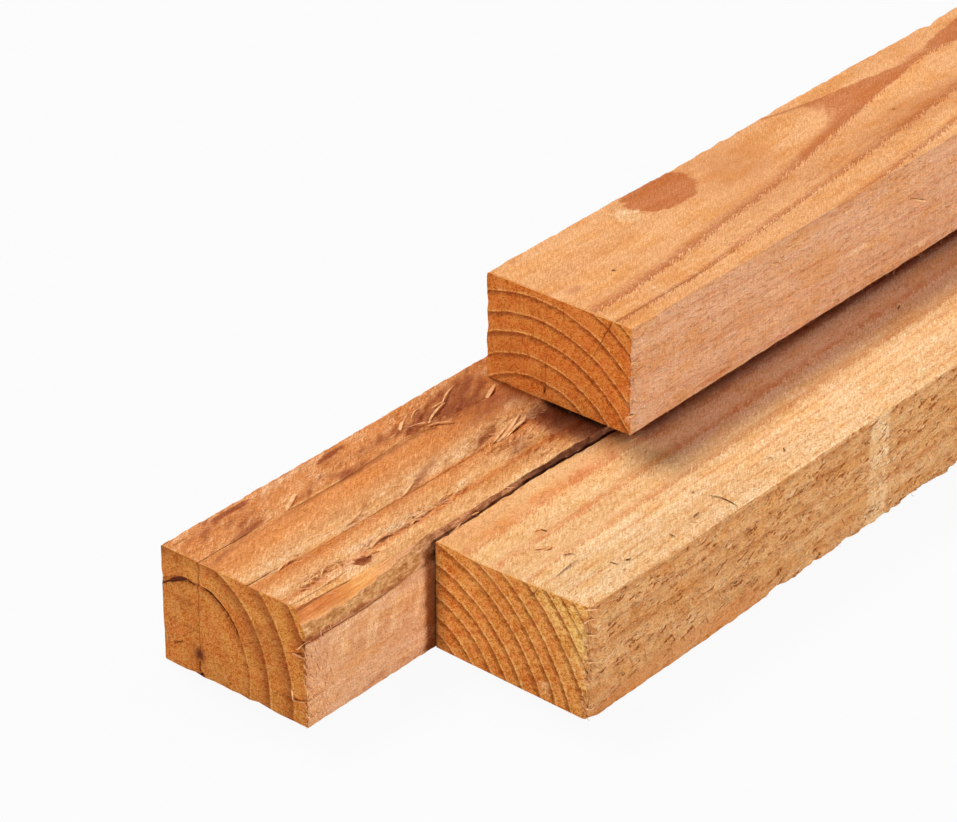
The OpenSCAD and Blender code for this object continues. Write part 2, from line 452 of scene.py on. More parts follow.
class LeftBatten(Batten):
    """Holds the pith, the ring shake, the heart check and the waney edge."""

    radii = (0, 9.2, 18.2, 27.9, 38.7, 51.2, 63.1, 74, 85)
    oval = (-0.065, -0.028, -0.049)
    end_grain = (0.16, 0.3, 9, 9, 81)
    stretches = ((175, 1), (260, 3))
    far_step = 10
    seams = ((17.2, 19.8, 0.5), (40.8, 44.6, 0.55), (56, 69, 0.75))
    carries_from = (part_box("top_batten")[0][1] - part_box("left_batten")[0][1]) / MM
    # each check: the axis it runs along, its points, half width, strength and swelling
    end_checks = (
        ("z", ((0.2, 17.2), (2.5, 16.6), (6, 16.9)), 0.3, 0.75),
        ("z", ((9.5, 17.2), (24, 17.3), (34, 17.6)), 0.22, 0.55),
        ("z", ((34, 17.5), (37.5, 17.3), (39, 17.8), (41, 17.5), (44, 18), (48, 17.6)), 0.3, 0.6),
        ("x", ((0, 32.1), (3, 33.9), (6, 35.9), (9, 37.2), (12, 37.8), (16.2, 37.7)), 0.3, 1, (1.6, 12, 0.6)),
        ("x", ((20.6, 37.9), (24, 37), (28, 34.7), (31, 32.2), (33.7, 29), (36.6, 24.4)), 0.4, 0.95),
        ("x", ((38.5, 22.3), (42, 24.2), (47.5, 27)), 0.16, 0.5),
        ("x", ((53, 30.5), (57, 31.8)), 0.16, 0.5),
        ("x", ((52.4, 7.8), (57, 8.6), (64, 10)), 0.16, 0.6),
        ("z", ((2.6, 52.2), (7.6, 52.2)), 0.16, 0.5),
        ("x", ((4.4, 9), (6.6, 9.6), (8.8, 11.2)), 0.26, 0.75),
        ("x", ((12.5, 45.8), (16.5, 44)), 0.16, 0.4),
    )
    # on the upper face: points as (along, across), half width and strength
    top_checks = (
        (
            ((0, 17.9), (30, 18), (45, 18.3), (60, 19), (76, 19.2), (96, 18.3), (112, 17.6), (120, 18.3)),
            0.26, 0.45,
        ),
        (((0, 18), (28, 18.1)), 0.3, 0.5),
        (((124, 18.2), (128, 20.2), (133, 24.4)), 0.4, 0.7),
        (((0, 41.2), (12, 41.3)), 0.28, 0.85),
        (((12, 41.3), (24, 43), (40, 43.6), (60, 43.4)), 0.22, 0.4),
        (((60, 43.4), (84, 43.8), (112, 44.2), (128, 44)), 0.26, 0.5),
        (((130, 44.6), (142, 44.4), (150, 43.4)), 0.4, 0.8),
        (((0, 61.4), (16, 61.9), (30, 61.4)), 0.2, 0.55),
        (((0, 64.3), (10, 64.9), (18, 65.4), (27, 66.2)), 0.25, 0.7),
        (((0, 3.9), (10, 3.6)), 0.35, 0.4),
        (((148, 20.8), (160, 20.6)), 0.35, 0.7),
        (((46, 57.6), (52, 56.6), (62, 57.4)), 0.35, 0.7),
        (((64, 58.6), (73, 57.8), (82, 57.2)), 0.3, 0.6),
    )

    # darker wood and a painted shadow: from and to across it, then along it, and how strongly each colour
    # falls. The first is a shadow painted on the upper face in front of the top batten's end, the second darker
    # wood
    shades = ((36, 43, 146, 161, (1, 1.3, 1.2)), (24, 18, 128, 156, (0.1, 0.14, 0.2)))
    side_checks = ((((8, 34.9), (20, 34.7), (32, 34.8), (42, 35.5), (50, 36.2)), 0.28, 0.75),)
    # dabs of stain on the upper face, then those on the front end
    top_stains = (
        (0.3, 8.5, 14, 3.2, 8, 30), (0.35, 5, 24, 2.4, 6, 20), (0.5, 12.5, 30, 3.6, 12, 32),
        (0.4, 16.5, 28, 1.4, 8, 8), (0.25, 7.5, 46, 1.8, 6, 30), (0.5, 14.8, 75, 2.4, 10, -28),
        (0.35, 14.2, 91, 2.2, 8, 24), (0.5, 11.5, 107, 4.4, 14, 6), (0.4, 15.5, 117, 2.6, 6),
        (0.6, 21.8, 7, 1.8, 10, 12), (0.5, 19.4, 100, 1.3, 30), (0.4, 19.6, 60, 1.3, 30),
        (0.8, 9, 150, 7.5, 25, 6), (0.6, 17, 142, 4, 16, -10), (0.65, 26, 150, 8, 20),
        (0.55, 37.5, 66, 1.8, 6, 20), (0.5, 38.5, 97, 2.2, 9, 22), (0.35, 35, 108, 1.6, 7, 30),
        (0.8, 39.5, 131, 2.4, 9, 12), (0.5, 41.5, 90, 1.6, 6, 14), (0.6, 54, 134, 5.5, 9, 26),
        (0.55, 58, 150, 5, 9, 26), (0.6, 48, 160, 8, 8), (0.4, 51, 118, 2.2, 6, 25),
        (0.5, 57.2, 20, 1.5, 7, 10), (0.45, 57, 74, 1.3, 12, 6), (0.3, 45.2, 60, 1.2, 50),
        (0.3, 3, 17, 3.5, 18), (0.2, 25, 30, 1.4, 34, 2), (0.2, 30.5, 74, 1.6, 40, 1),
        (0.4, 17.2, 76, 1.2, 40, -1), (0.35, 17, 18, 1, 16), (0.35, 20.6, 36, 1.4, 26, 2),
    )
    end_stains = (
        (0.6, 52.5, 38, 1.9, 3.6), (0.6, 57.6, 26, 2, 4.5), (0.6, 60.4, 15.5, 1.6, 7),
        (0.6, 36, 38.5, 3.4, 1.6), (0.6, 46.2, 31, 2.4, 2.6), (0.6, 14, 18.8, 7, 1.1),
        (0.6, 10, 29, 8, 2.2), (0.6, 8, 44, 6, 1.2),
    )
    fibres = (
        (70, (68.2, 69.2), (-0.3, 1.2), (1, 34), (0.7, 0.5, 0), (0.6, -0.7, 0.2), 0.8),
        (180, (69, 69.1), (0, 12), (2, 36), (0.1, 1, -0.2), (1, 0, 0.1), 0.8),
        (160, (1, 68), (0, 162), (47.9, 48), (-0.6, 1, 0), (0, 0, 1), 0.6),
        (160, (55.5, 59.5), (10, 100), (47.9, 48), (-0.5, 1, 0), (0, 0, 1), 0.8),
        (140, (38, 45), (25, 160), (47.9, 48), (-0.5, 1, 0), (0, 0, 1), 0.8),
    )

    def pith(self, y):
        return 17.2 + 1.2 * noise(0, y / 210, 0, 31), 8.3 + 1 * noise(0, y / 240, 4, 32)

    def bend(self, x, y, z):
        return 3.2 * spot(x, y, 61.5, 38, 6, 9) * ease(z, 34, 46)

    def section(self, x, y, z):
        w, h = self.width, self.right_height
        # the smooth, peeled surface, which runs out to the corner
        cx, cz = 12, 16.5
        corner = math.hypot(w - cx, h - cz)
        grow = (corner - 60.5) / 62
        wander = 0.5 * noise(y / 18, 1.5, 0, 41) * ease(y, 0, 10)
        reach = minimum(60.5 + grow * y, corner + 3) + wander
        dist = np.hypot(x - cx, z - cz)
        cut = (x > cx) & (z > cz + 8) & (dist > reach) & (y < 74)
        pull = where(cut, reach / maximum(dist, 1e-6), 1)
        x1, z1 = cx + (x - cx) * pull, cz + (z - cz) * pull
        peeled = where(cut, ease(dist - reach, 0.02, 0.3), 0)
        # the flattened bark below and behind it
        bx, bz = w - math.sqrt(90**2 - 4.5**2), 31
        edge = math.hypot(w - bx, h - bz)
        full = clip(maximum(y / 900, 0.55 * ease(y, 56, 84)), 0, 1.4)
        ragged = 0.22 * noise(y / 9, 4.4, 0, 47) + 0.2 * noise(y / 2.4, 4.4, 0, 48)
        reach = 90 + (edge - 90) * full + ragged * ease(y, 54, 70)
        dist = np.hypot(x1 - bx, z1 - bz)
        cut = (z1 > bz) & (x1 > w - 9) & (dist > reach)
        pull = where(cut, reach / maximum(dist, 1e-6), 1)
        x2, z2 = bx + (x1 - bx) * pull, bz + (z1 - bz) * pull
        # its lower edge climbs a little as it runs back
        low = interp(y, (0, 10, 40, 60, 90), (35.6, 35, 35.4, 36.6, 37.6)) + 0.4 * noise(y / 7, 3.3, 0, 42)
        high = interp(y, (0, 20, 32, 44, 56, 66, 70), (41.6, 41.6, 42.4, 43.8, 45.8, 48.2, 60))
        high = high + 0.5 * noise(y / 5, 6.1, 0, 43)
        bark = where((x > w - 0.01) & (z2 > low), ease(z2, low, low + 0.6), 0)
        bark = maximum(bark, where(cut & (z1 > 40), ease(dist - reach, 0, 0.12), 0))
        bark = bark * fall(z2, high - 0.2, high + 0.2)
        outer = where((x > w - 0.01) | (dist > reach - 0.3), ease(z2, high - 0.2, high + 0.2), 0) * (y < 70)
        peeled = maximum(peeled * ease(z2, high - 0.2, high + 0.2), outer)
        chip = maximum(layered(x2 / 2.4, 0, 0, 88, 2) - 0.02, 0) * fall(y, 0.3, 3)
        z2 = z2 + 1 * chip * fall(z2, 0, 2.5)
        return x2, z2, peeled, clip(bark, 0, 1)

    def face_rings(self, face, x, y, rings):
        if face != TOP:
            return rings
        sway = 0.5 * noise(y / 24, 0.4, 0, 45) + 0.25 * noise(y / 6, 0.4, 0, 46)
        lines = (0, 17.6, 18.4, 43.8, 46, 52, 57.8, 60.5, 76)
        return interp(x - sway, lines, (1.2, 1.5, 2.02, 3.02, 3.45, 3.7, 4.02, 4.75, 4.93))

    def paint(self, face, x, y, z, rings):
        nothing = blank(x)
        stain, pale, torn = nothing, nothing, nothing + 0.12
        if face == TOP:
            torn = run(x, 53.5, 58.5, 1.5) * run(y, 10, 100, 6) * (1 - run(y, 33, 43, 2))
            torn = torn + 0.3 * run(x, 36, 44, 1.8) * run(y, 55, 166, 10)
            torn = dab_on(torn, x, y, ((1, 13, 131, 9, 16), (0.9, 50, 142, 14, 18)))
            torn = torn + 0.6 * run(x, 41, 43.5, 0.8) * run(y, 8, 30, 4)
            torn = dab_on(torn, x, y, ((0.4, 13, 33, 5, 9), (0.4, 12, 78, 6, 14)))
            torn = clip(0.1 + torn, 0, 1)
        fuzz = 0.2 + 0.22 * torn
        relief, pits = saw_relief(x, y, z, fuzz, 0.2 + 0.75 * torn, 0.5 - 0.2 * torn, 61)
        deep = pits * 0.35 * torn
        if face == TOP:
            streaky = layered(x / 2.4, y / 46, 0, 71, 3)
            patchy = layered(x / 5, y / 15, 0, 72, 3)
            sweep = layered((x + 0.6 * y) / 1.6, (y - 0.6 * x) / 11, 0, 73, 3)
            peach = fall(x, 16.5, 19.5)
            line = interp(y, (0, 92, 100, 110, 124, 140, 172), (-3, 1, 6.5, 8.6, 8.4, 5.2, 0))
            wedge = fall(x, line - 0.8, line + 0.8) * ease(y, 90, 96)
            stain = peach * ease(sweep, 0, 0.5) * 0.42
            stain = dab_on(stain, x, y, self.top_stains)
            stain = stain * (0.9 + 0.35 * sweep) * (1 - 0.85 * wedge)
            pale = run(x, 34, 42.5, 2.5) * (0.42 + 0.4 * streaky) * fall(y, 112, 145)
            pale = pale + run(x, 51, 56, 2) * (0.35 + 0.4 * patchy) * (1 - 0.5 * ease(y, 100, 130))
            pale = pale + 0.26 * peach * ease(-sweep, -0.1, 0.5) + 0.1 * peach
            pale = pale + 0.35 * run(x, 57, 61, 1) * run(y, -5, 28, 3)
            pale = pale + 0.12 * ease(x, 58.5, 61.5) * ease(y, 38, 48) * (1 - 0.6 * ease(y, 130, 150))
            torn_ends = ((0.7, 61.6, 34.5, 5.5, 7.5), (0.4, 3, 58, 2, 26), (0.6, 31, 158, 4.5, 7))
            pale = dab_on(pale, x, y, torn_ends)
            pale = pale + 0.3 * torn * ease(patchy, 0, 0.4)
            # dark red lenses beside the left arris, and the knot
            strong = spot(x, y, 3, 33, 1.4, 11) + spot(x, y, 4, 85, 1.4, 9, 6)
            knot = spot(x, y, 61, 38.4, 2.5, 4.6, 8) * (1 + 0.5 * noise(x / 1.2, y / 1.6, 0, 74))
            stain = stain + 1.3 * ease(strong, 0.3, 0.6) + 1.5 * ease(knot, 0.3, 0.55)
            deep = maximum(deep, 0.42 * ease(strong, 0.45, 0.85))
            deep = maximum(deep, 0.42 * ease(knot, 0.4, 0.75))
            pits = ((0.6, 4.6, 93, 1, 2.4), (0.85, 61.4, 40.2, 0.9, 1.9), (0.8, 60.4, 36.4, 0.7, 1.3))
            deep = dab_over(deep, x, y, pits)
            relief = relief - 0.8 * spot(x, y, 61.2, 38.8, 2, 3.4) + 0.5 * spot(x, y, 63.4, 33.5, 1.8, 3)
            for points, half, strength in self.top_checks:
                off, along = near_line(y, x, points)
                gap = hump(off, 0, half + 0.25) * fall(along, 0.88, 1)
                relief -= (0.2 + 1.1 * half) * strength * gap
            sunk = ease(x, 36, 44) * ease(y, 146, 163) * fall(y, 240, 300)
            relief -= 1.6 * sunk
            # the peach band stands a little proud of the crack beside it
            relief -= 0.35 * ease(x, 18, 18.6) * run(y, -9, 116, 6)
        elif face == RIGHT:
            lean = y - 0.24 * (z - 26)
            for at, half, much in (
                (12, 1.8, 0.6), (19.5, 2.6, 1.1), (26.2, 0.5, 1.1), (33.5, 1.8, 1.3), (36.8, 0.8, 1),
                (41, 0.6, 0.8), (46.5, 2.4, 1.1), (51, 0.6, 0.9), (55, 1, 0.6), (59.5, 1.8, 1),
            ):
                pale = pale + much * hump(lean, at, half) * run(z, 17, 32.5, 4.5)
            far = 0.45 * ease(noise(0, lean / 6, 0, 76), 0, 0.6) * ease(y, 60, 80)
            pale = (pale + far) * (0.8 + 0.4 * layered(x / 3, y / 3, z / 7, 77, 2))
            stain = 0.5 * fall(z, 3, 7.5) * (0.6 + 0.6 * layered(0, y / 9, z / 3, 79, 2))
            stain = stain + 0.7 * run(z, 34.3, 37, 0.5) * fall(y, 8, 12)
            stain = dab_on(stain, z, y, ((0.35, 31, 8, 4, 9), (0.4, 34, 53, 1.5, 8)))
            deep = maximum(deep, 0.5 * spot(z, y, 3.6, 1.5, 2.2, 1.8))
            edge = interp(y, (0, 10, 40, 60, 90), (35, 34.7, 35.2, 36.4, 37.4))
            line = hump(z, edge, 0.45) * (1 - 0.75 * ease(y, 36, 58))
            relief, deep = relief - 0.5 * line, maximum(deep, 0.85 * line)
            # a painted shadow of the right batten's front end on this side, running back along the part beside
            # it
            deep = maximum(deep, 0.42 * ease(y, 62, 64.5) * fall(y, 80, 100) * fall(z, 33, 37))
            torn = nothing + 0.22
        elif face == LEFT:
            stain = 0.4 * ease(layered(0, y / 40, z / 5, 78, 2), 0.1, 0.5)
            notches = ((-1.1, 34.6, 0, 1.5, 3.5), (-0.5, 13, 0, 1.3, 3), (-0.5, 4, 0, 1, 2.5))
            relief = dab_on(relief, z, y, notches)
            relief += 0.25 * noise(z / 3.5, y / 9, 1, 44)
        return relief, stain, pale, deep, torn

    def paint_end(self, x, z, relief, stain, pale, deep):
        core, halo = spot(x, z, 17, 8.7, 2.5, 2.9), spot(x, z, 17, 8.6, 4.2, 4.6)
        deep = maximum(deep, 0.75 * core)
        stain = maximum(stain, 0.95 * halo)
        relief = relief - 0.35 * core - 1.6 * spot(x, z, 17.7, 0, 1.4, 1.3)
        # rings bruised by the saw, left of the pith
        around = np.hypot(x - 17.2, z - 8.3)
        arcs = np.sin(around * 3.6) * run(around, 12, 17.5, 1) * run(x, -1, 9, 2) * run(z, 7, 24, 3)
        relief += 0.3 * arcs
        pale = 0.45 * clip(arcs, 0, 1)
        stain = maximum(stain, 0.7 * clip(-arcs, 0, 1))
        hollow = spot(x, z, 67.6, 33.6, 1.7, 2.4)
        relief, deep = relief - 1.2 * hollow, maximum(deep, 0.7 * ease(hollow, 0.3, 0.7))
        stain = dab_over(stain, x, z, self.end_stains)
        pale = maximum(pale, 0.4 * spot(x, z, 29.5, 5, 1.6, 1.6))
        shag = ease(layered(x / 1.3, z / 1, 2, 86, 2), 0, 0.3) * ease(x, 65.5, 68.5)
        relief, deep = relief - 0.8 * shag, maximum(deep, 0.5 * shag)
        pale = maximum(pale, 0.45 * ease(x, 66.8, 68.4) * (1 - shag) * fall(z, 36, 39))
        fray = run(x, 63.5, 69, 1.5) * run(z, 25.5, 36.5, 1) * (0.6 + 0.8 * layered(x / 5, z / 0.8, 2, 87, 2))
        stain, pale = maximum(stain, 0.5 * fray), maximum(pale, 0.5 * ease(fray, 0.75, 1.1))
        return relief, stain, pale, deep


class RightBatten(Batten):
    """Mostly sapwood, with the roughest side."""

    radii = (
        3.5, 11, 18.5, 25.7, 32.3, 40.3, 46.7, 53.3, 61.8, 68.7, 75.1, 83.2, 89.7, 94.9, 99.4, 105,
        112, 120,
    )
    oval = (-0.021, -0.043, 0.028)
    end_grain = (0.15, 0.2, 8, 8, 181)
    stretches = ((250, 1.2), (420, 1.9))
    steady = 190
    # painted shade on the upper face beside the top batten, given as from and to across it, then along it, and
    # how strongly each colour falls: the first darkens the shadow next to the top batten, the second paints a
    # bluer tint into the shade it casts
    shades = ((20, 9, 96, 120, (0.14, 0.2, 0.14)), (37, 28, 92, 114, (0, 0.01, -0.24)))
    end_checks = (
        ("x", ((43.8, 40.3), (46, 42.2), (47.3, 44.4), (47.9, 46)), 0.26, 0.8),
        ("x", ((57.5, 43.2), (58.6, 45.4)), 0.2, 0.5),
        ("x", ((66.2, 40.5), (67.6, 43.2)), 0.2, 0.5),
    )
    fibres = (
        (110, (70.7, 71.6), (-0.3, 1.2), (3, 46), (0.5, 0.8, 0), (0.7, -0.7, 0.2), 0.9),
        (880, (71.5, 71.6), (0, 420), (1, 46.5), (0.15, 1, -0.25), (1, 0, 0.1), 0.85),
        (340, (3.5, 71), (0, 420), None, (0.3, 1, 0), (0, 0, 1), 0.6),
        (180, (70.5, 71.5), (0, 420), (46.6, 47.1), (0.5, 1, 0.1), (0.5, 0, 1), 0.8),
    )

    def pith(self, y):
        return -7.9 + 1.5 * noise(0, y / 260, 2, 33) - 0.004 * y, -18.5 + 1.5 * noise(0, y / 230, 7, 34)

    def section(self, x, y, z):
        # the lower right arris is torn away in places
        size = 1.5 + 1 * noise(y / 11, 0, 0, 175) + 0.7 * noise(y / 3, 0, 0, 177)
        size = maximum(maximum(size, 0) * ease(y, 92, 112), 1.7 * fall(y, 0.5, 6))
        over = maximum(size - (self.width - x) - z, 0) / 2
        # its upper left arris stands a little high
        rise = interp(y, (0, 8, 20, 35, 50, 62, 75, 100), (1.8, 1.8, 2, 2.3, 2.8, 2.7, 2.2, 2.1))
        rise = rise + 0.35 * noise(y / 6, 0.7, 0, 179) * ease(y, 4, 12)
        rise = rise * fall(x, 3, 22) * ease(z, 28, 42) * fall(y, 96, 114)
        nothing = blank(x)
        return x - over, z + over + rise, nothing, nothing

    def face_rings(self, face, x, y, rings):
        if face != TOP:
            return rings
        sway = 0.5 * noise(y / 45, 0.4, 0, 145) + 0.25 * noise(y / 9, x / 20, 0, 146)
        sway = sway - 0.021 * minimum(y, 420)
        lines = (-4, 14.6, 28.7, 43, 49, 54.2, 59, 63.6, 68, 72.4, 76.6, 81, 86)
        return interp(x - sway, lines, np.arange(len(lines), dtype=float))

    def paint(self, face, x, y, z, rings):
        nothing = blank(x)
        stain, pale, torn = nothing, nothing, nothing + 0.2
        fuzz, tear, begin = 0.24, 0.3, 0.55
        if face == RIGHT:
            low = interp(y, (0, 30, 95), (3, 7.5, 8.5))
            calm = fall(z, low - 0.6, low + 1.6) * fall(y, 95, 125)
            torn = 1 - 0.6 * calm
            fuzz, tear, begin = 0.2 + 0.42 * torn, 0.2 + 0.85 * torn, 0.6 - 0.28 * torn
        elif face == TOP:
            torn = 0.16 + 0.2 * ease(x, 46, 66)
            fuzz, tear, begin = 0.22, 0.12, 0.6
        relief, pits = saw_relief(x, y, z, fuzz, tear, begin, 161)
        deep = pits * 0.3 * torn
        if face == TOP:
            patchy = layered(x / 4, y / 14, 0, 172, 3)
            dabs = layered(x / 2.5 + y / 9, y / 5, 0, 176, 2)
            part = rings - np.floor(rings)
            comb = layered((x + 0.5 * y) / 1.7, (y - 0.5 * x) / 6.5, 0, 178, 3)
            near = ease(part + 0.32 * comb * (1 - 0.6 * ease(x, 30, 46)), 0.74, 0.97)
            near = near * (1 - ease(x, 26, 44) * 0.5)
            teeth = ease(layered(x / 0.9 + y / 1.3, y / 3, 0, 176, 2), -0.3, 0.3)
            broken = 0.35 + 0.65 * ease(dabs + 0.6 * patchy, -0.3, 0.3)
            stain = near * (0.4 + 0.45 * teeth) * broken
            stain = stain + 0.3 * fall(x, 5, 13) * (1 - 0.5 * ease(y, 96, 116))
            stain = stain + 0.14 * patchy * fall(x, 20, 34)
            stain = dab_on(stain, x, y, ((0.3, 11, 22, 5, 16, -8), (0.3, 13, 66, 4, 18, 4)))
            stain = stain + 0.2 * spot(x, y, 20, 90, 6, 18) * (0.5 + dabs)
            pale = (0.35 * ease(x, 8, 24) + 0.4 * ease(x, 34, 52)) * (1 - 0.6 * near) * (0.75 + 0.4 * patchy)
            relief -= 0.14 * near
            for at_x, at_y, half in (
                (23.5, 30, 1.3), (31, 20.5, 1), (17.6, 66, 0.7), (43, 24.5, 0.9), (50, 85.5, 0.5),
            ):
                deep = dab_over(deep, x, y, ((0.7, at_x, at_y, half, half * 0.6, 25),))
        elif face == RIGHT:
            patchy = layered(y / 12, z / 4, 0, 173, 3)
            stain = 0.4 * calm + 0.25 * spot(z, y, 9, 150, 6, 25) + 0.15 * ease(patchy, 0.2, 0.6)
            stain = stain + 0.3 * spot(z, y, 17, 200, 3, 40)
            pale = 0.22 * ease(-patchy, 0.05, 0.45)
            deep = maximum(deep, 0.24 * calm)
            smear = run(z, 9.5, 16.5, 2.5) * ease(y, 92, 120)
            torn = torn * (1 - 0.6 * smear)
            mark = run(y, 167.5, 180.5, 1.5)
            pale = maximum(pale * (1 - 0.4 * mark), 0.66 * mark * (1 - 0.3 * run(z, 17, 27, 2)))
            pale = maximum(pale, 0.3 * smear)
            pale = maximum(pale, 0.3 * run(y, 198, 203, 1.5) * ease(z, 20, 30))
            waves = run(z, 10, 15, 2) * run(y, 118, 168, 10) * (0.6 + 0.4 * np.sin(y * 0.7))
            pale = maximum(pale, 0.35 * waves)
            # lifted lips of torn fibre; the dip below each is darkened as painted shadow
            bend = 1.5 * noise(y / 7, z / 5, 0, 186)
            lifted = layered(y / 5.5, (z + bend) / 1.7, 0, 174, 2)
            lip = ease(lifted, 0.17, 0.36) * torn
            under = ease(layered((y - 1.2) / 5.5, (z + bend + 0.9) / 1.7, 0, 174, 2), 0.19, 0.36) * torn
            under = under * (1 - lip)
            relief = relief + 0.22 * lip - 0.45 * under
            deep = maximum(deep, 0.4 * under)
            tufts = layered(y / 1.7, z / 1.2, 0, 185, 2)
            front = fall(y + tufts, 2.5, 6) * run(z, 8, 42, 2.5)
            relief -= 0.7 * ease(tufts, 0, 0.3) * front
            deep = maximum(deep, 0.55 * ease(tufts, 0.05, 0.3) * front)
            pale = maximum(pale, 0.38 * ease(-tufts, -0.05, 0.25) * front)
            for at_y, at_z, half in (
                (113.5, 7.6, 2.4), (136, 5.6, 2.6), (99, 6.6, 2), (191, 20, 1.8), (131.5, 22, 1.8),
                (171, 5.5, 2.4), (187, 17.5, 1.6),
            ):
                hole = spot(y, z, at_y, at_z, half, half * 0.55, 12)
                relief -= 1.3 * hole
                deep = maximum(deep, 0.85 * ease(hole, 0.3, 0.75))
        return relief, stain, pale, deep, torn

    def paint_end(self, x, z, relief, stain, pale, deep):
        fleck = run(x + 0.12 * z, 49.6, 54.6, 0.35) * run(z - 0.1 * x, -3, 2.9, 0.35)
        fleck = maximum(fleck, 0.7 * spot(x, z, 56.6, 8, 1.6, 0.8, 15))
        pale = maximum(pale, 0.5 * fleck)
        relief += 0.12 * fleck
        stain = maximum(stain, 0.6 * spot(x, z, 46.5, 5, 1.4, 3, 15))
        shag = ease(layered(x / 1.5, z / 1.1, 2, 184, 2), -0.05, 0.2) * ease(x, 66, 69) * run(z, 7, 43, 2.5)
        relief -= 0.7 * shag
        deep = maximum(deep, 0.5 * shag)
        pale = maximum(pale, 0.6 * ease(x, 67, 69.4) * (1 - shag) * run(z, 7, 43, 2.5))
        return relief, stain, pale, deep


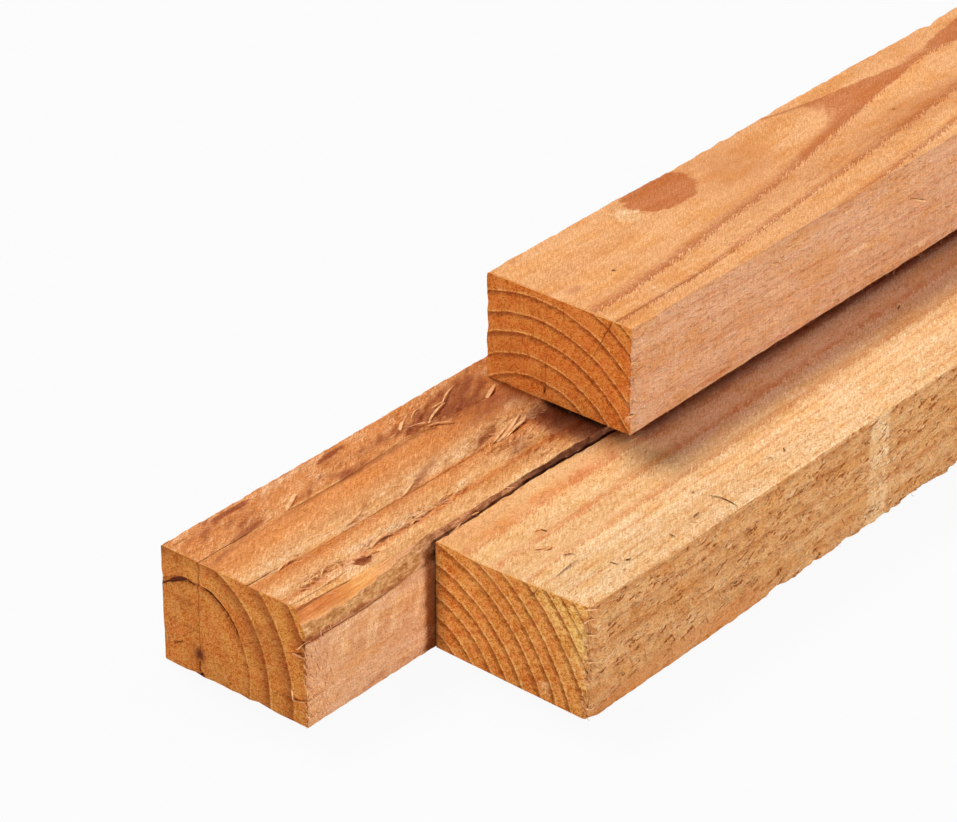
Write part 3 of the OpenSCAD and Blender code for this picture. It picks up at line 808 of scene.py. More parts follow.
class TopBatten(Batten):
    """Sawn flat through the rings, so that they show as islands on its upper face."""

    radii = (
        14.5, 21.8, 29, 36.2, 43, 50.1, 57.6, 65.6, 72.7, 80.5, 87.7, 92.8, 100.3, 107.5, 115, 122,
        129, 136,
    )
    oval = (-0.122, 0.001, -0.002)
    end_grain = (0.15, 0.25, 9, 6, 281)
    stretches = ((330, 1.35),)
    steady = 250
    end_checks = (
        ("z", ((2.2, 27.8), (4, 27.9), (5.4, 28.1)), 0.4, 0.85),
        ("z", ((5, 28.1), (9, 28.3), (16, 28.6)), 0.22, 0.5),
        ("z", ((16, 28.6), (22, 29), (27, 29.3)), 0.18, 0.32),
        ("z", ((24, 49.5), (29, 52)), 0.16, 0.4),
        ("z", ((29, 52), (36, 55.6), (38, 55.9)), 0.2, 0.65),
        ("z", ((37.6, 55.9), (40, 57.5), (44.5, 59.5)), 0.22, 0.75),
        ("z", ((37, 36.8), (41.5, 36.5)), 0.2, 0.6),
        ("z", ((20, 17.4), (23.6, 17.2)), 0.22, 0.55),
        ("z", ((9.5, 46.6), (12.5, 48.2)), 0.18, 0.5),
        ("z", ((15, 50.2), (17.5, 51.6)), 0.2, 0.6),
        ("z", ((31, 15.4), (40, 15.8)), 0.2, 0.3),
        ("z", ((13, 3), (18, 1.4)), 0.2, 0.3),
    )
    top_checks = (
        (((0, 60.8), (30, 61.2), (60, 61.4)), 0.2, 0.55),
        (((60, 61.2), (100, 58), (150, 53.6)), 0.2, 0.3),
    )
    # dabs of stain on the right side
    side_stains = (
        (0.55, 45, 39.5, 16, 1), (0.6, 42, 17.4, 6, 0.7), (0.5, 45, 29.5, 6, 0.6), (0.55, 50, 2.6, 12, 1),
        (0.5, 143, 32, 4, 0.6), (0.6, 196, 29.5, 3.5, 1.2), (0.5, 162, 7, 9, 1.6),
    )
    fibres = (
        (30, (68.4, 69.2), (-0.3, 1), (1, 20), (0.6, 0.6, 0), (0.7, -0.7, 0.2), 0.7),
        (380, (69, 69.1), (0, 330), (1, 44), (0.1, 1, -0.15), (1, 0, 0.1), 0.55),
        (400, (1, 68), (0, 330), (44.4, 44.6), (0.5, 1, 0), (0, 0, 1), 0.5),
        (160, (68.4, 69.1), (0, 330), (-0.1, 0.8), (0.4, 1, -0.3), (1, 0, -0.3), 0.7),
    )

    def pith(self, y):
        return 24.4 - 8 * ease(y, -40, 215), -48.7

    def bend(self, x, y, z):
        return 0.0182 * y - 1.1 * run(x, 42, 80, 10) * run(y, 12, 120, 40) * ease(z, 30, 44)

    def face_rings(self, face, x, y, rings):
        if face != TOP:
            return rings
        one = interp(
            y,
            (0, 20, 52, 97, 130, 164, 200, 219, 258, 330, 420),
            (51.6, 51.6, 49.2, 44.2, 41, 34.4, 27.8, 24.1, 17.2, 22, 26),
        )
        two = interp(y, (0, 50, 80, 110, 150, 190, 230, 330), (62, 62.2, 59.6, 57.2, 54.6, 51, 47.4, 38))
        three = interp(y, (0, 100, 140, 205, 240, 330), (84, 75, 70.8, 64, 60, 52))
        near = fall(y, 380, 560)
        part = where(x < one, 1 - (one - x) / 24, 1 + (x - one) / maximum(two - one, 1))
        part = where(x > two, 2 + (x - two) / maximum(three - two, 1), part)
        part = where(x > three, 3 + (x - three) / 14, part)
        part = maximum(part, 0.3)
        return where(near > 0.5, part, rings)

    def paint(self, face, x, y, z, rings):
        nothing = blank(x)
        stain, pale, torn = nothing, nothing, nothing + 0.1
        relief, pits = saw_relief(x, y, z, 0.1, 0.05, 0.65, 261)
        deep = pits * 0.08
        if face == TOP:
            edge = 0.22 * layered(x / 2.5, y / 4.5, 0, 271, 3)
            island = ((x - 8.6) / 12.8) ** 2 + ((y - 93.5) / 19) ** 2 + edge * (1 + 1.6 * ease(-y, -84, -70))
            island = fall(island, 0.88, 1.08)
            upper = interp(y, (160, 168, 185, 200, 215, 230, 245, 262), (-3, 0, 4.2, 7.4, 9.4, 11.8, 14, 16))
            stops = (150, 160, 180, 200, 219, 235, 250, 264)
            lower = interp(y, stops, (36, 34, 30, 26.8, 23.6, 21.2, 19, 16.6))
            rag = 0.8 * layered(x / 3, y / 6, 0, 277, 2) * ease(y, 205, 235)
            tongue = ease(x - rag, upper - 0.3, upper + 0.5) * fall(x - rag, lower - 0.5, lower + 0.3)
            tongue = tongue * run(y, 150, 264, 2)
            start = interp(x, (0, 5, 12, 20, 28, 34), (174, 186, 194, 190, 176, 160))
            haze = 9 * layered((x + 0.9 * y) / 1.3, (y - 0.9 * x) / 9, 0, 280, 3)
            full = maximum(ease(y - start + haze, -10, 10), 0.9 * hump(x, upper, 2.5) * ease(y, 166, 172))
            full = maximum(full, 0.8 * hump(lower, x, 6))
            half = 7.5 * (clip((y - 267) / 36, 0, 1) * clip((352 - y) / 40, 0, 1)) ** 0.6
            second = fall(np.abs(x - 13.4) + 5 * edge - half, -0.6, 0.5)
            second = second * (half > 0)
            thread = hump(x, 15.4, 1.1) * run(y, 257, 276, 3)
            sweep = layered((x + 0.7 * y) / 1.4, (y - 0.7 * x) / 12, 0, 279, 3)
            warm = 0.16 * ease(y, 60, 120) + 0.14 * run(x, 38, 52, 6) * ease(y, 30, 80)
            warm = dab_on(warm, x, y, ((0.28, 20, 130, 20, 34), (0.22, 54, 45, 5, 20))) + 0.1 * sweep
            warm = warm + 0.16 * spot(x, y, 40, 215, 8, 30) - 0.1 * ease(x, 52, 60)
            stain = np.maximum.reduce([0.95 * island, 0.95 * tongue * full, 0.95 * second, 0.5 * thread, warm])
            stain = maximum(stain, 0.55 * spot(x, y, 34, 10, 3, 6) + 0.16 * sweep)
            stain = dab_over(stain, x, y, ((0.4, 64, 6, 3, 9), (0.5, 2.5, 12, 2, 3)))
            for at_y in (30.5, 50):
                smear = hump(y, at_y, 1.3) * run(x, 43, 64, 4)
                pale = maximum(pale, 0.55 * smear * (0.7 + 0.6 * edge / 0.22))
            milky = minimum(spot(x, y, 18, 168, 9, 18, 24) + 0.6 * spot(x, y, 9, 172, 6, 12), 1)
            pale = maximum(pale, 0.2 * milky * (0.8 + 0.5 * sweep))
            stain = where(stain > 0.5, stain, stain * (1 - 0.6 * milky))
            chips = ease(layered(x / 1.5, y / 1.8, 0, 274, 2), 0, 0.25)
            rough = ease(spot(x, y, 11.5, 70, 8, 6.5, -14) + 0.3 * (chips - 0.5), 0.3, 0.6)
            pale = maximum(pale, rough * (0.4 + 0.3 * chips))
            stain = stain * (1 - 0.8 * rough)
            torn = clip(0.3 * torn + 0.3 * rough + 0.3 * run(x, 40, 60, 8) * run(y, 60, 220, 20), 0, 1)
            relief = relief - 0.15 * rough * chips - 0.9 * spot(x, y, 3.5, 0.5, 3.5, 1.8) * chips
            deep = maximum(deep, 0.6 * spot(x, y, 4, 0.3, 3.5, 1.6) * chips)
            relief -= 1.5 * spot(x, y, 0.2, 289.5, 1.4, 3.2)
            specks = ((0.85, 35.4, 31.5, 0.75, 0.75), (0.85, 36.6, 212, 0.7, 0.7), (0.85, 50.5, 20.5, 0.5, 0.5))
            deep = dab_over(deep, x, y, specks)
            # the tear in the far part of the left arris
            gone = ease(y, 96, 104) * fall(y, 150, 170)
            relief = relief - 0.35 * gone * fall(x, 0.5, 2.5) * (1 + noise(0, y / 3, 0, 278))
        elif face == LEFT:
            notch = spot(z, y, 22.8, 0, 2.6, 4)
            notch = dab_on(notch, z, y, ((0.7, 10.5, 0, 2, 4), (0.6, 32, 0, 1.4, 3)))
            relief = relief - 1.5 * notch + 0.35 * noise(z / 3.2, y / 8, 2, 284)
        elif face == RIGHT:
            patchy = layered(y / 16, z / 4, 0, 276, 3)
            stain = 0.3 * ease(z, 38.5, 42) * (0.6 + 0.5 * patchy)
            stain = stain + 0.2 * ease(patchy, 0.2, 0.6) + 0.3 * fall(z, 2, 5)
            stain = dab_on(stain, y, z, self.side_stains)
            rag = ease(layered(y / 4, z / 1.6, 0, 286, 2), -0.35, 0.25)
            for at_y, at_z, long, high in (
                (88, 24.5, 11, 3), (67, 13.5, 8, 2.6), (88, 11.5, 9, 3), (118, 8, 9, 3),
                (148, 19.5, 12, 2.4), (187, 4, 13, 2.4), (158, 21, 8, 1.8), (70, 24.5, 6, 1.6),
                (100, 38, 10, 2),
            ):
                pale = maximum(pale, 0.62 * spot(y, z, at_y, at_z, long, high) * rag)
            pale = maximum(pale, 0.22 * ease(-patchy, 0.15, 0.5))
            relief -= 0.7 * spot(y, z, 184, 25.5, 3, 1.8, -25)
            for at_y, at_z in ((130, 2.6), (141, 2.2), (153, 3.6), (187, 14.8), (63, 8.8), (74, 27.5)):
                deep = maximum(deep, 0.7 * spot(y, z, at_y, at_z, 1.3, 0.6))
            torn = 0.5 + 0.3 * spot(y, z, 88, 36, 9, 3) + 0.3 * fall(y, 2, 9)
        return relief, stain, pale, deep, torn

    def paint_end(self, x, z, relief, stain, pale, deep):
        # a redder heart side and a yellower outer corner
        stain = maximum(stain, 0.3 * spot(x, z, 10, 14, 16, 16))
        fleck = spot(x, z, 67.4, 6, 1, 1.8)
        pale = maximum(pale, 0.9 * fleck)
        chips = ease(layered(x / 1.4, z / 1.2, 2, 285, 2), 0, 0.3)
        corner = spot(x, z, 4, 44, 5, 2.5) * chips
        relief, deep = relief - 1.2 * corner, maximum(deep, 0.6 * corner)
        shag = ease(x, 66.6, 68.6) * chips
        relief, deep = relief - 0.6 * shag, maximum(deep, 0.4 * shag)
        pale = maximum(pale, 0.6 * ease(x, 67.6, 68.8) * (1 - chips))
        return relief, stain, pale, deep


def write_layer(mesh, name, values):
    layer = mesh.attributes.new(name, "FLOAT", "POINT")
    layer.data.foreach_set("value", np.ascontiguousarray(values, dtype=np.float32))


def batten_mesh(batten, name, rows, step, coarse):
    """The closed mesh of one batten, with its relief and its colour masks as attributes."""
    w, hl, hr = batten.width, batten.left_height, batten.right_height
    hidden = 3.4 * coarse
    left, low = spread(hl, hidden, edge=0.9), spread(w, hidden * 1.3, edge=0.9)
    top, right = spread(w, step, close=batten.seams), spread(hr, step)
    tilt = math.atan2(hr - hl, w)
    faces, xs, zs, nx, nz, arris = [], [], [], [], [], []
    # each face: its width, the places across it, x, z, and which way it and the one before look
    for face, wide, u, x, z, out, back in (
        (LEFT, hl, left, 0 * left, left, (-1, 0), (0, -1)),
        (TOP, w, top, top, batten.top_at(top), (-math.sin(tilt), math.cos(tilt)), (-1, 0)),
        (RIGHT, hr, right, w + 0 * right, hr - right, (1, 0), (0, 1)),
        (BOTTOM, w, low, w - low, 0 * low, (0, -1), (1, 0)),
    ):
        n_x, n_z = np.full(len(u), float(out[0])), np.full(len(u), float(out[1]))
        n_x[0], n_z[0] = (out[0] + back[0]) / math.sqrt(2), (out[1] + back[1]) / math.sqrt(2)
        found = (np.full(len(u), face), x, z, n_x, n_z, minimum(u, wide - u))
        for column, values in zip((faces, xs, zs, nx, nz, arris), found):
            column.append(values)
    faces, xs, zs, nx, nz, arris = (np.concatenate(a) for a in (faces, xs, zs, nx, nz, arris))
    cols, count = len(xs), len(rows)

    def spread_out(values):
        return np.broadcast_to(values, (count, cols))

    y = np.broadcast_to(rows[:, None], (count, cols))
    x, z = spread_out(xs), spread_out(zs)
    x, z, peeled, bark = batten.section(x, y, z)
    rings = batten.rings(x, y, z)
    cut_rings = rings[[0, -1]].copy()
    relief, stain, pale, deep, torn = masks = [np.zeros((count, cols)) for _ in range(5)]
    for face in (LEFT, TOP, RIGHT, BOTTOM):
        pick = faces == face
        rings[:, pick] = batten.face_rings(face, x[:, pick], y[:, pick], rings[:, pick])
        painted = batten.paint(face, x[:, pick], y[:, pick], z[:, pick], rings[:, pick])
        for mask, values in zip(masks, painted):
            mask[:, pick] = values
    rings[[0, -1]] = cut_rings
    stain, pale = stain * ease(y, -1.0, 0.8), pale * ease(y, -1.0, 0.8)
    smooth = clip(peeled, 0, 1)
    relief = relief * (1 - 0.75 * smooth)
    rough = layered(x / 3, y / 5, z / 3, 91, 3)
    relief = relief * (1 - 0.5 * bark) + bark * (0.5 * rough - 0.15)
    # the bark's low places are darkened as painted shade
    deep = maximum(deep * (1 - smooth), bark * 0.7 * ease(-rough, 0.25, 0.6))
    # arrises are worn and torn a little
    wear = 0.55 + 0.45 * noise(x / 9, y / 7, z / 9, 92) + 0.35 * noise(x / 9, y / 2.2, z / 9, 93)
    wear = clip(wear, 0.15, 1.4)
    near = clip(1 - spread_out(arris) / (1.4 * wear), 0, 1) ** 2 * (1 - 0.6 * maximum(smooth, bark))
    relief -= 0.5 * wear * near
    fade = ease(y, -0.4, 1.2) * fall(y, batten.length - 1.2, batten.length + 0.4)
    shaggy = clip(0.5 + layered(x, y / 2.0, z / 1.3, 97, 2) * 1.6, 0, 1.3) * fall(y, 0.8, 3.2)
    relief -= 0.9 * shaggy * spread_out((faces == RIGHT) & (arris > 1.0)) * (1 - bark)
    floor = spread_out(faces == BOTTOM)
    relief = where(floor, minimum(relief, 0) * 0.6, clip(relief, DEEPEST, HIGHEST))
    if batten.carries_from:
        # nothing stands up into the batten that rests here
        seat = spread_out(nz > 0.1) & (y > batten.carries_from - 2.0)
        relief = where(seat, minimum(relief, UNDER_SEAT), relief)
    relief = relief * (0.45 + 0.55 * fade)
    px, pz = x + relief * spread_out(nx), maximum(z + relief * spread_out(nz), 0)
    side = spread_out(((faces == LEFT) | (faces == RIGHT)).astype(float))
    body = batten.to_stack(px, y, pz).reshape(-1, 3)
    layers = {
        "ring": rings,
        "stain": clip(stain, 0, 1),
        "pale": clip(pale, 0, 1),
        "deep": clip(deep, 0, 1),
        "torn": clip(torn, 0, 1) * (1 - smooth),
        "peeled": smooth,
        "bark": bark,
        "side": side,
    }
    layers = {key: np.array(value, float).reshape(-1) for key, value in layers.items()}
    grid = np.arange(count * cols).reshape(count, cols)
    a, b = grid[:-1], np.roll(grid, -1, axis=1)[:-1]
    c, d = np.roll(grid, -1, axis=1)[1:], grid[1:]
    quads = np.stack([a, d, c, b], axis=-1).reshape(-1, 4)
    sides = [tuple(q) for q in quads.tolist()]
    verts = [body]
    caps = []
    offset = len(body)
    for front in (True, False):
        row = 0 if front else count - 1
        rim = grid[row]
        rim_x, rim_z = px[row], pz[row]
        inner = cap_points(rim_x, rim_z, coarse if front else coarse * 2.2, batten, front)
        flat = [Vector(p) for p in np.concatenate([np.stack([rim_x, rim_z], 1), inner]).tolist()]
        loop = [(i, (i + 1) % cols) for i in range(cols)]
        found, _, tris, source, _, _ = geometry.delaunay_2d_cdt(flat, loop, [], 1, 1e-7)
        keep = [s[0] if s else -1 for s in source]
        if min(keep) < 0 or len(found) < cols:
            raise RuntimeError(name + ": an end face could not be filled")
        ex, ez = np.array([(p.x, p.y) for p in found]).T
        y_end = np.full(len(ex), rows[row])
        ring = batten.rings(ex, y_end, ez)
        r, s, p, dd = batten.end_masks(ex, ez, front)
        on_rim = np.array([k < cols for k in keep])
        r = where(on_rim, 0, r)
        sign = 1 if front else -1
        placed = batten.to_stack(ex, y_end - sign * minimum(r, 0.25), ez)
        remap = np.zeros(len(ex), int)
        fresh = []
        for index, k in enumerate(keep):
            if k < cols:
                remap[index] = rim[k]
            else:
                remap[index] = offset + len(fresh)
                fresh.append(index)
        offset += len(fresh)
        verts.append(placed[fresh])
        extra = {"ring": ring, "stain": s, "pale": p, "deep": dd}
        for key in layers:
            values = clip(extra[key], 0, None) if key in extra else np.zeros(len(ex))
            layers[key] = np.concatenate([layers[key], np.asarray(values, float)[fresh]])
        for tri in tris:
            i, j, k = (int(remap[t]) for t in tri)
            caps.append((i, j, k) if front else (i, k, j))
    verts = np.concatenate(verts)
    mesh = bpy.data.meshes.new(name)
    mesh.from_pydata(verts.tolist(), [], sides + caps)
    index = np.zeros(len(mesh.polygons), np.int32)
    index[len(sides):] = 1
    mesh.polygons.foreach_set("material_index", index)
    for key, values in layers.items():
        write_layer(mesh, key, values)
    mesh.polygons.foreach_set("use_smooth", np.ones(len(mesh.polygons), bool))
    mesh.update()
    mesh.set_sharp_from_angle(angle=math.radians(62))
    return mesh


def cap_points(rim_x, rim_z, step, batten, front):
    """Points inside an end face: a jittered grid, and closer rows beside its checks."""
    w, h = batten.width, max(batten.left_height, batten.right_height)
    gx, gz = (a.ravel() for a in np.meshgrid(np.arange(step, w, step), np.arange(step, h, step)))
    gx = gx + step * 0.28 * noise(gx * 3.1, gz * 3.1, 0, 95)
    gz = gz + step * 0.28 * noise(gx * 3.1, gz * 3.1, 9, 96)
    points = np.stack([gx, gz], 1)
    if front:
        for axis, points_along, _, strength, *_ in batten.end_checks:
            if strength < 0.7:
                continue
            line = points_along if axis == "x" else [(b, a) for a, b in points_along]
            dense = []
            for a, b in zip(line, line[1:]):
                reach = math.dist(a, b)
                dx, dz = (b[0] - a[0]) / reach, (b[1] - a[1]) / reach
                for t in np.linspace(0, 1, max(2, int(reach / 0.45)), endpoint=False):
                    x, z = a[0] + t * (b[0] - a[0]), a[1] + t * (b[1] - a[1])
                    dense += [(x - dz * off, z + dx * off) for off in (-0.9, -0.55, -0.25, 0, 0.25, 0.55, 0.9)]
            off, _ = near_line(points[:, 0], points[:, 1], line)
            points = np.concatenate([points[off > 1.2], np.array(dense)])
    # stay clear of the rim and of each other
    edge = np.stack([rim_x, rim_z], 1)
    points = points[in_loop(points, edge)]
    gap = np.full(len(points), 1e9)
    for start in range(0, len(edge), 64):
        apart = points[:, None] - edge[None, start : start + 64]
        gap = minimum(gap, np.hypot(apart[..., 0], apart[..., 1]).min(1))
    points = points[gap > 0.32]
    cell = np.round(points / 0.2).astype(int)
    _, first = np.unique(cell, axis=0, return_index=True)
    return points[np.sort(first)]


def in_loop(points, loop):
    """Which points lie inside a closed outline."""
    inside = np.zeros(len(points), bool)
    x, z = points[:, 0], points[:, 1]
    for (x1, z1), (x2, z2) in zip(loop, np.roll(loop, -1, axis=0)):
        if z1 == z2:
            continue
        inside ^= ((z1 > z) != (z2 > z)) & (x < (x2 - x1) * (z - z1) / (z2 - z1) + x1)
    return inside


# ---------------------------------------------------------------- materials


class Graph:
    """Shorthand for wiring a node tree."""

    def __init__(self, tree):
        self.tree = tree
        tree.nodes.clear()
        self.spots = None

    def place(self):
        if self.spots is None:
            self.spots = self.add("ShaderNodeTexCoord").outputs["Object"]
        return self.spots

    def add(self, kind, values=None, **settings):
        node = self.tree.nodes.new(kind)
        for key, value in settings.items():
            setattr(node, key, value)
        for key, value in (values or {}).items():
            self.feed(node.inputs[key], value)
        return node

    def feed(self, socket, value):
        if isinstance(value, bpy.types.NodeSocket):
            self.tree.links.new(value, socket)
        elif socket.type == "RGBA" and len(value) == 3:
            socket.default_value = (*value, 1)
        else:
            socket.default_value = value

    def maths(self, operation, a, b=0.0, c=0.0, clamp=False):
        node = self.add("ShaderNodeMath", {0: a, 1: b, 2: c}, operation=operation, use_clamp=clamp)
        return node.outputs[0]

    def scaled(self, value, by, more):
        return self.maths("MULTIPLY_ADD", value, by, more)

    def times(self, *parts):
        out = parts[0]
        for part in parts[1:]:
            out = self.maths("MULTIPLY", out, part)
        return out

    def plus(self, a, b):
        return self.maths("ADD", a, b)

    def minus(self, a, b):
        return self.maths("SUBTRACT", a, b)

    def less(self, value):
        return self.minus(1.0, value)

    def blend(self, factor, a, b, mode="MIX"):
        node = self.add("ShaderNodeMix", {0: factor, 6: a, 7: b}, data_type="RGBA", blend_type=mode)
        return node.outputs[2]

    def mingle(self, factor, a, b):
        return self.add("ShaderNodeMix", {0: factor, 2: a, 3: b}, data_type="FLOAT").outputs[0]

    def band(self, value, low, high, at_low=0.0, at_high=1.0):
        values = {"Value": value, 1: low, 2: high, 3: at_low, 4: at_high}
        return self.add("ShaderNodeMapRange", values, interpolation_type="SMOOTHSTEP").outputs[0]

    def layer(self, name):
        return self.add("ShaderNodeAttribute", attribute_name=name).outputs["Fac"]

    def grain(self, across, along, up, detail=2.0, rough=0.5, turn=(0, 0, 0), shift=(0, 0, 0)):
        """Noise whose blobs measure across by along by up, in millimetres."""
        spin = tuple(math.radians(t) for t in turn)
        place = {"Vector": self.place(), "Location": tuple(s * MM for s in shift), "Rotation": spin}
        place["Scale"] = (across * MM, along * MM, up * MM)
        return self.speckle(self.add("ShaderNodeMapping", place, vector_type="TEXTURE"), detail, rough)

    def speckle(self, places, detail, rough=0.5):
        values = {"Vector": places.outputs[0], "Scale": 1.0, "Detail": detail, "Roughness": rough}
        return self.add("ShaderNodeTexNoise", values).outputs["Fac"]

    def total(self, *parts):
        """The sum of (weight, noise value) pairs, each counted from its middle."""
        out = 0.0
        for weight, value in parts:
            out = self.maths("MULTIPLY_ADD", self.minus(value, 0.5), weight * CONTRAST, out)
        return out

    def tone(self, base, value, pull):
        """base, darker and redder where value is below 0 and paler where it is above."""
        parts = [self.maths("POWER", TONE_BASE, self.times(value, p)) for p in pull]
        shade = self.add("ShaderNodeCombineColor", dict(enumerate(parts))).outputs[0]
        return self.blend(1.0, base, shade, "MULTIPLY")

    def flakes(self, across, along, up, level, shift=(0, 0, 0), reach=0.5, detail=3.0, turn=(0, 0, 0)):
        """Raised flakes of fibre: the flakes, their shadowed edge and their lit edge."""
        moved = (shift[0] + reach, shift[1], shift[2] - reach)
        here = self.grain(across, along, up, detail, 0.55, turn, shift)
        there = self.grain(across, along, up, detail, 0.55, turn, moved)
        here, there = (self.band(v, level, level + 0.03) for v in (here, there))
        shadow = self.maths("SUBTRACT", there, here, clamp=True)
        lit = self.maths("SUBTRACT", here, there, clamp=True)
        return here, shadow, lit

    def local(self, origin):
        """Distances from an origin given in mm, counted in REACH."""
        start = tuple(float(o) * MM for o in origin)
        moved = self.add("ShaderNodeVectorMath", {0: self.place(), 1: start}, operation="SUBTRACT")
        shrink = {0: moved.outputs[0], "Scale": 1 / (REACH * MM)}
        scaled = self.add("ShaderNodeVectorMath", shrink, operation="SCALE")
        return self.add("ShaderNodeSeparateXYZ", {0: scaled.outputs[0]}).outputs

    def trace(self, along, across, points, half, broken=None, swell=None):
        """A thin line through (along, across) points in mm. broken is a noise that leaves
        gaps in it; swell is (from, to, extra half width)."""
        node = self.add("ShaderNodeFloatCurve", {"Value": along})
        path = node.mapping.curves[0]
        spots = [(max(0.0, a / REACH), max(0.0, c / REACH)) for a, c in points]
        path.points[0].location, path.points[-1].location = spots[0], spots[-1]
        for spot_at in spots[1:-1]:
            path.points.new(*spot_at)
        for point in path.points:
            point.handle_type = "VECTOR"
        node.mapping.update()
        off = self.maths("ABSOLUTE", self.minus(across, node.outputs[0]))
        wide = half / REACH
        if swell:
            middle, reach = (swell[0] + swell[1]) / 2 / REACH, (swell[1] - swell[0]) / 2 / REACH
            far = self.maths("ABSOLUTE", self.minus(along, middle))
            wide = self.band(far, reach * 0.3, reach, wide + swell[2] / REACH, wide)
        inner, outer = self.times(wide, 0.55), self.times(wide, 1.25)
        mask = self.less(self.band(off, inner, outer))
        start, stop = points[0][0] / REACH, points[-1][0] / REACH
        if points[0][0] > 0.5:
            mask = self.times(mask, self.band(along, start - 0.004, start + 0.004))
        mask = self.times(mask, self.less(self.band(along, stop - 0.006, stop + 0.004)))
        if broken:
            mask = self.times(mask, self.band(broken, 0.36, 0.56, 0.12, 1.0))
        return mask

    def seen_straight(self):
        """1 for what the camera sees, also in a mirror or through glass."""
        path = self.add("ShaderNodeLightPath").outputs
        mirrored = self.maths("MAXIMUM", path["Is Glossy Ray"], path["Is Transmission Ray"])
        return self.maths("MAXIMUM", path["Is Camera Ray"], mirrored)

    def finish(self, base, rough, height, depth):
        bump = self.add("ShaderNodeBump", {"Strength": 1.0, "Distance": depth * MM, "Height": height})
        values = {"Base Color": base, "Roughness": rough, "Normal": bump.outputs[0], "Specular IOR Level": 0.12}
        surface = self.add("ShaderNodeBsdfPrincipled", values)
        self.add("ShaderNodeOutputMaterial", {0: surface.outputs[0]})


def new_material(name):
    made = bpy.data.materials.new(name)
    made.use_nodes = True
    return made, Graph(made.node_tree)


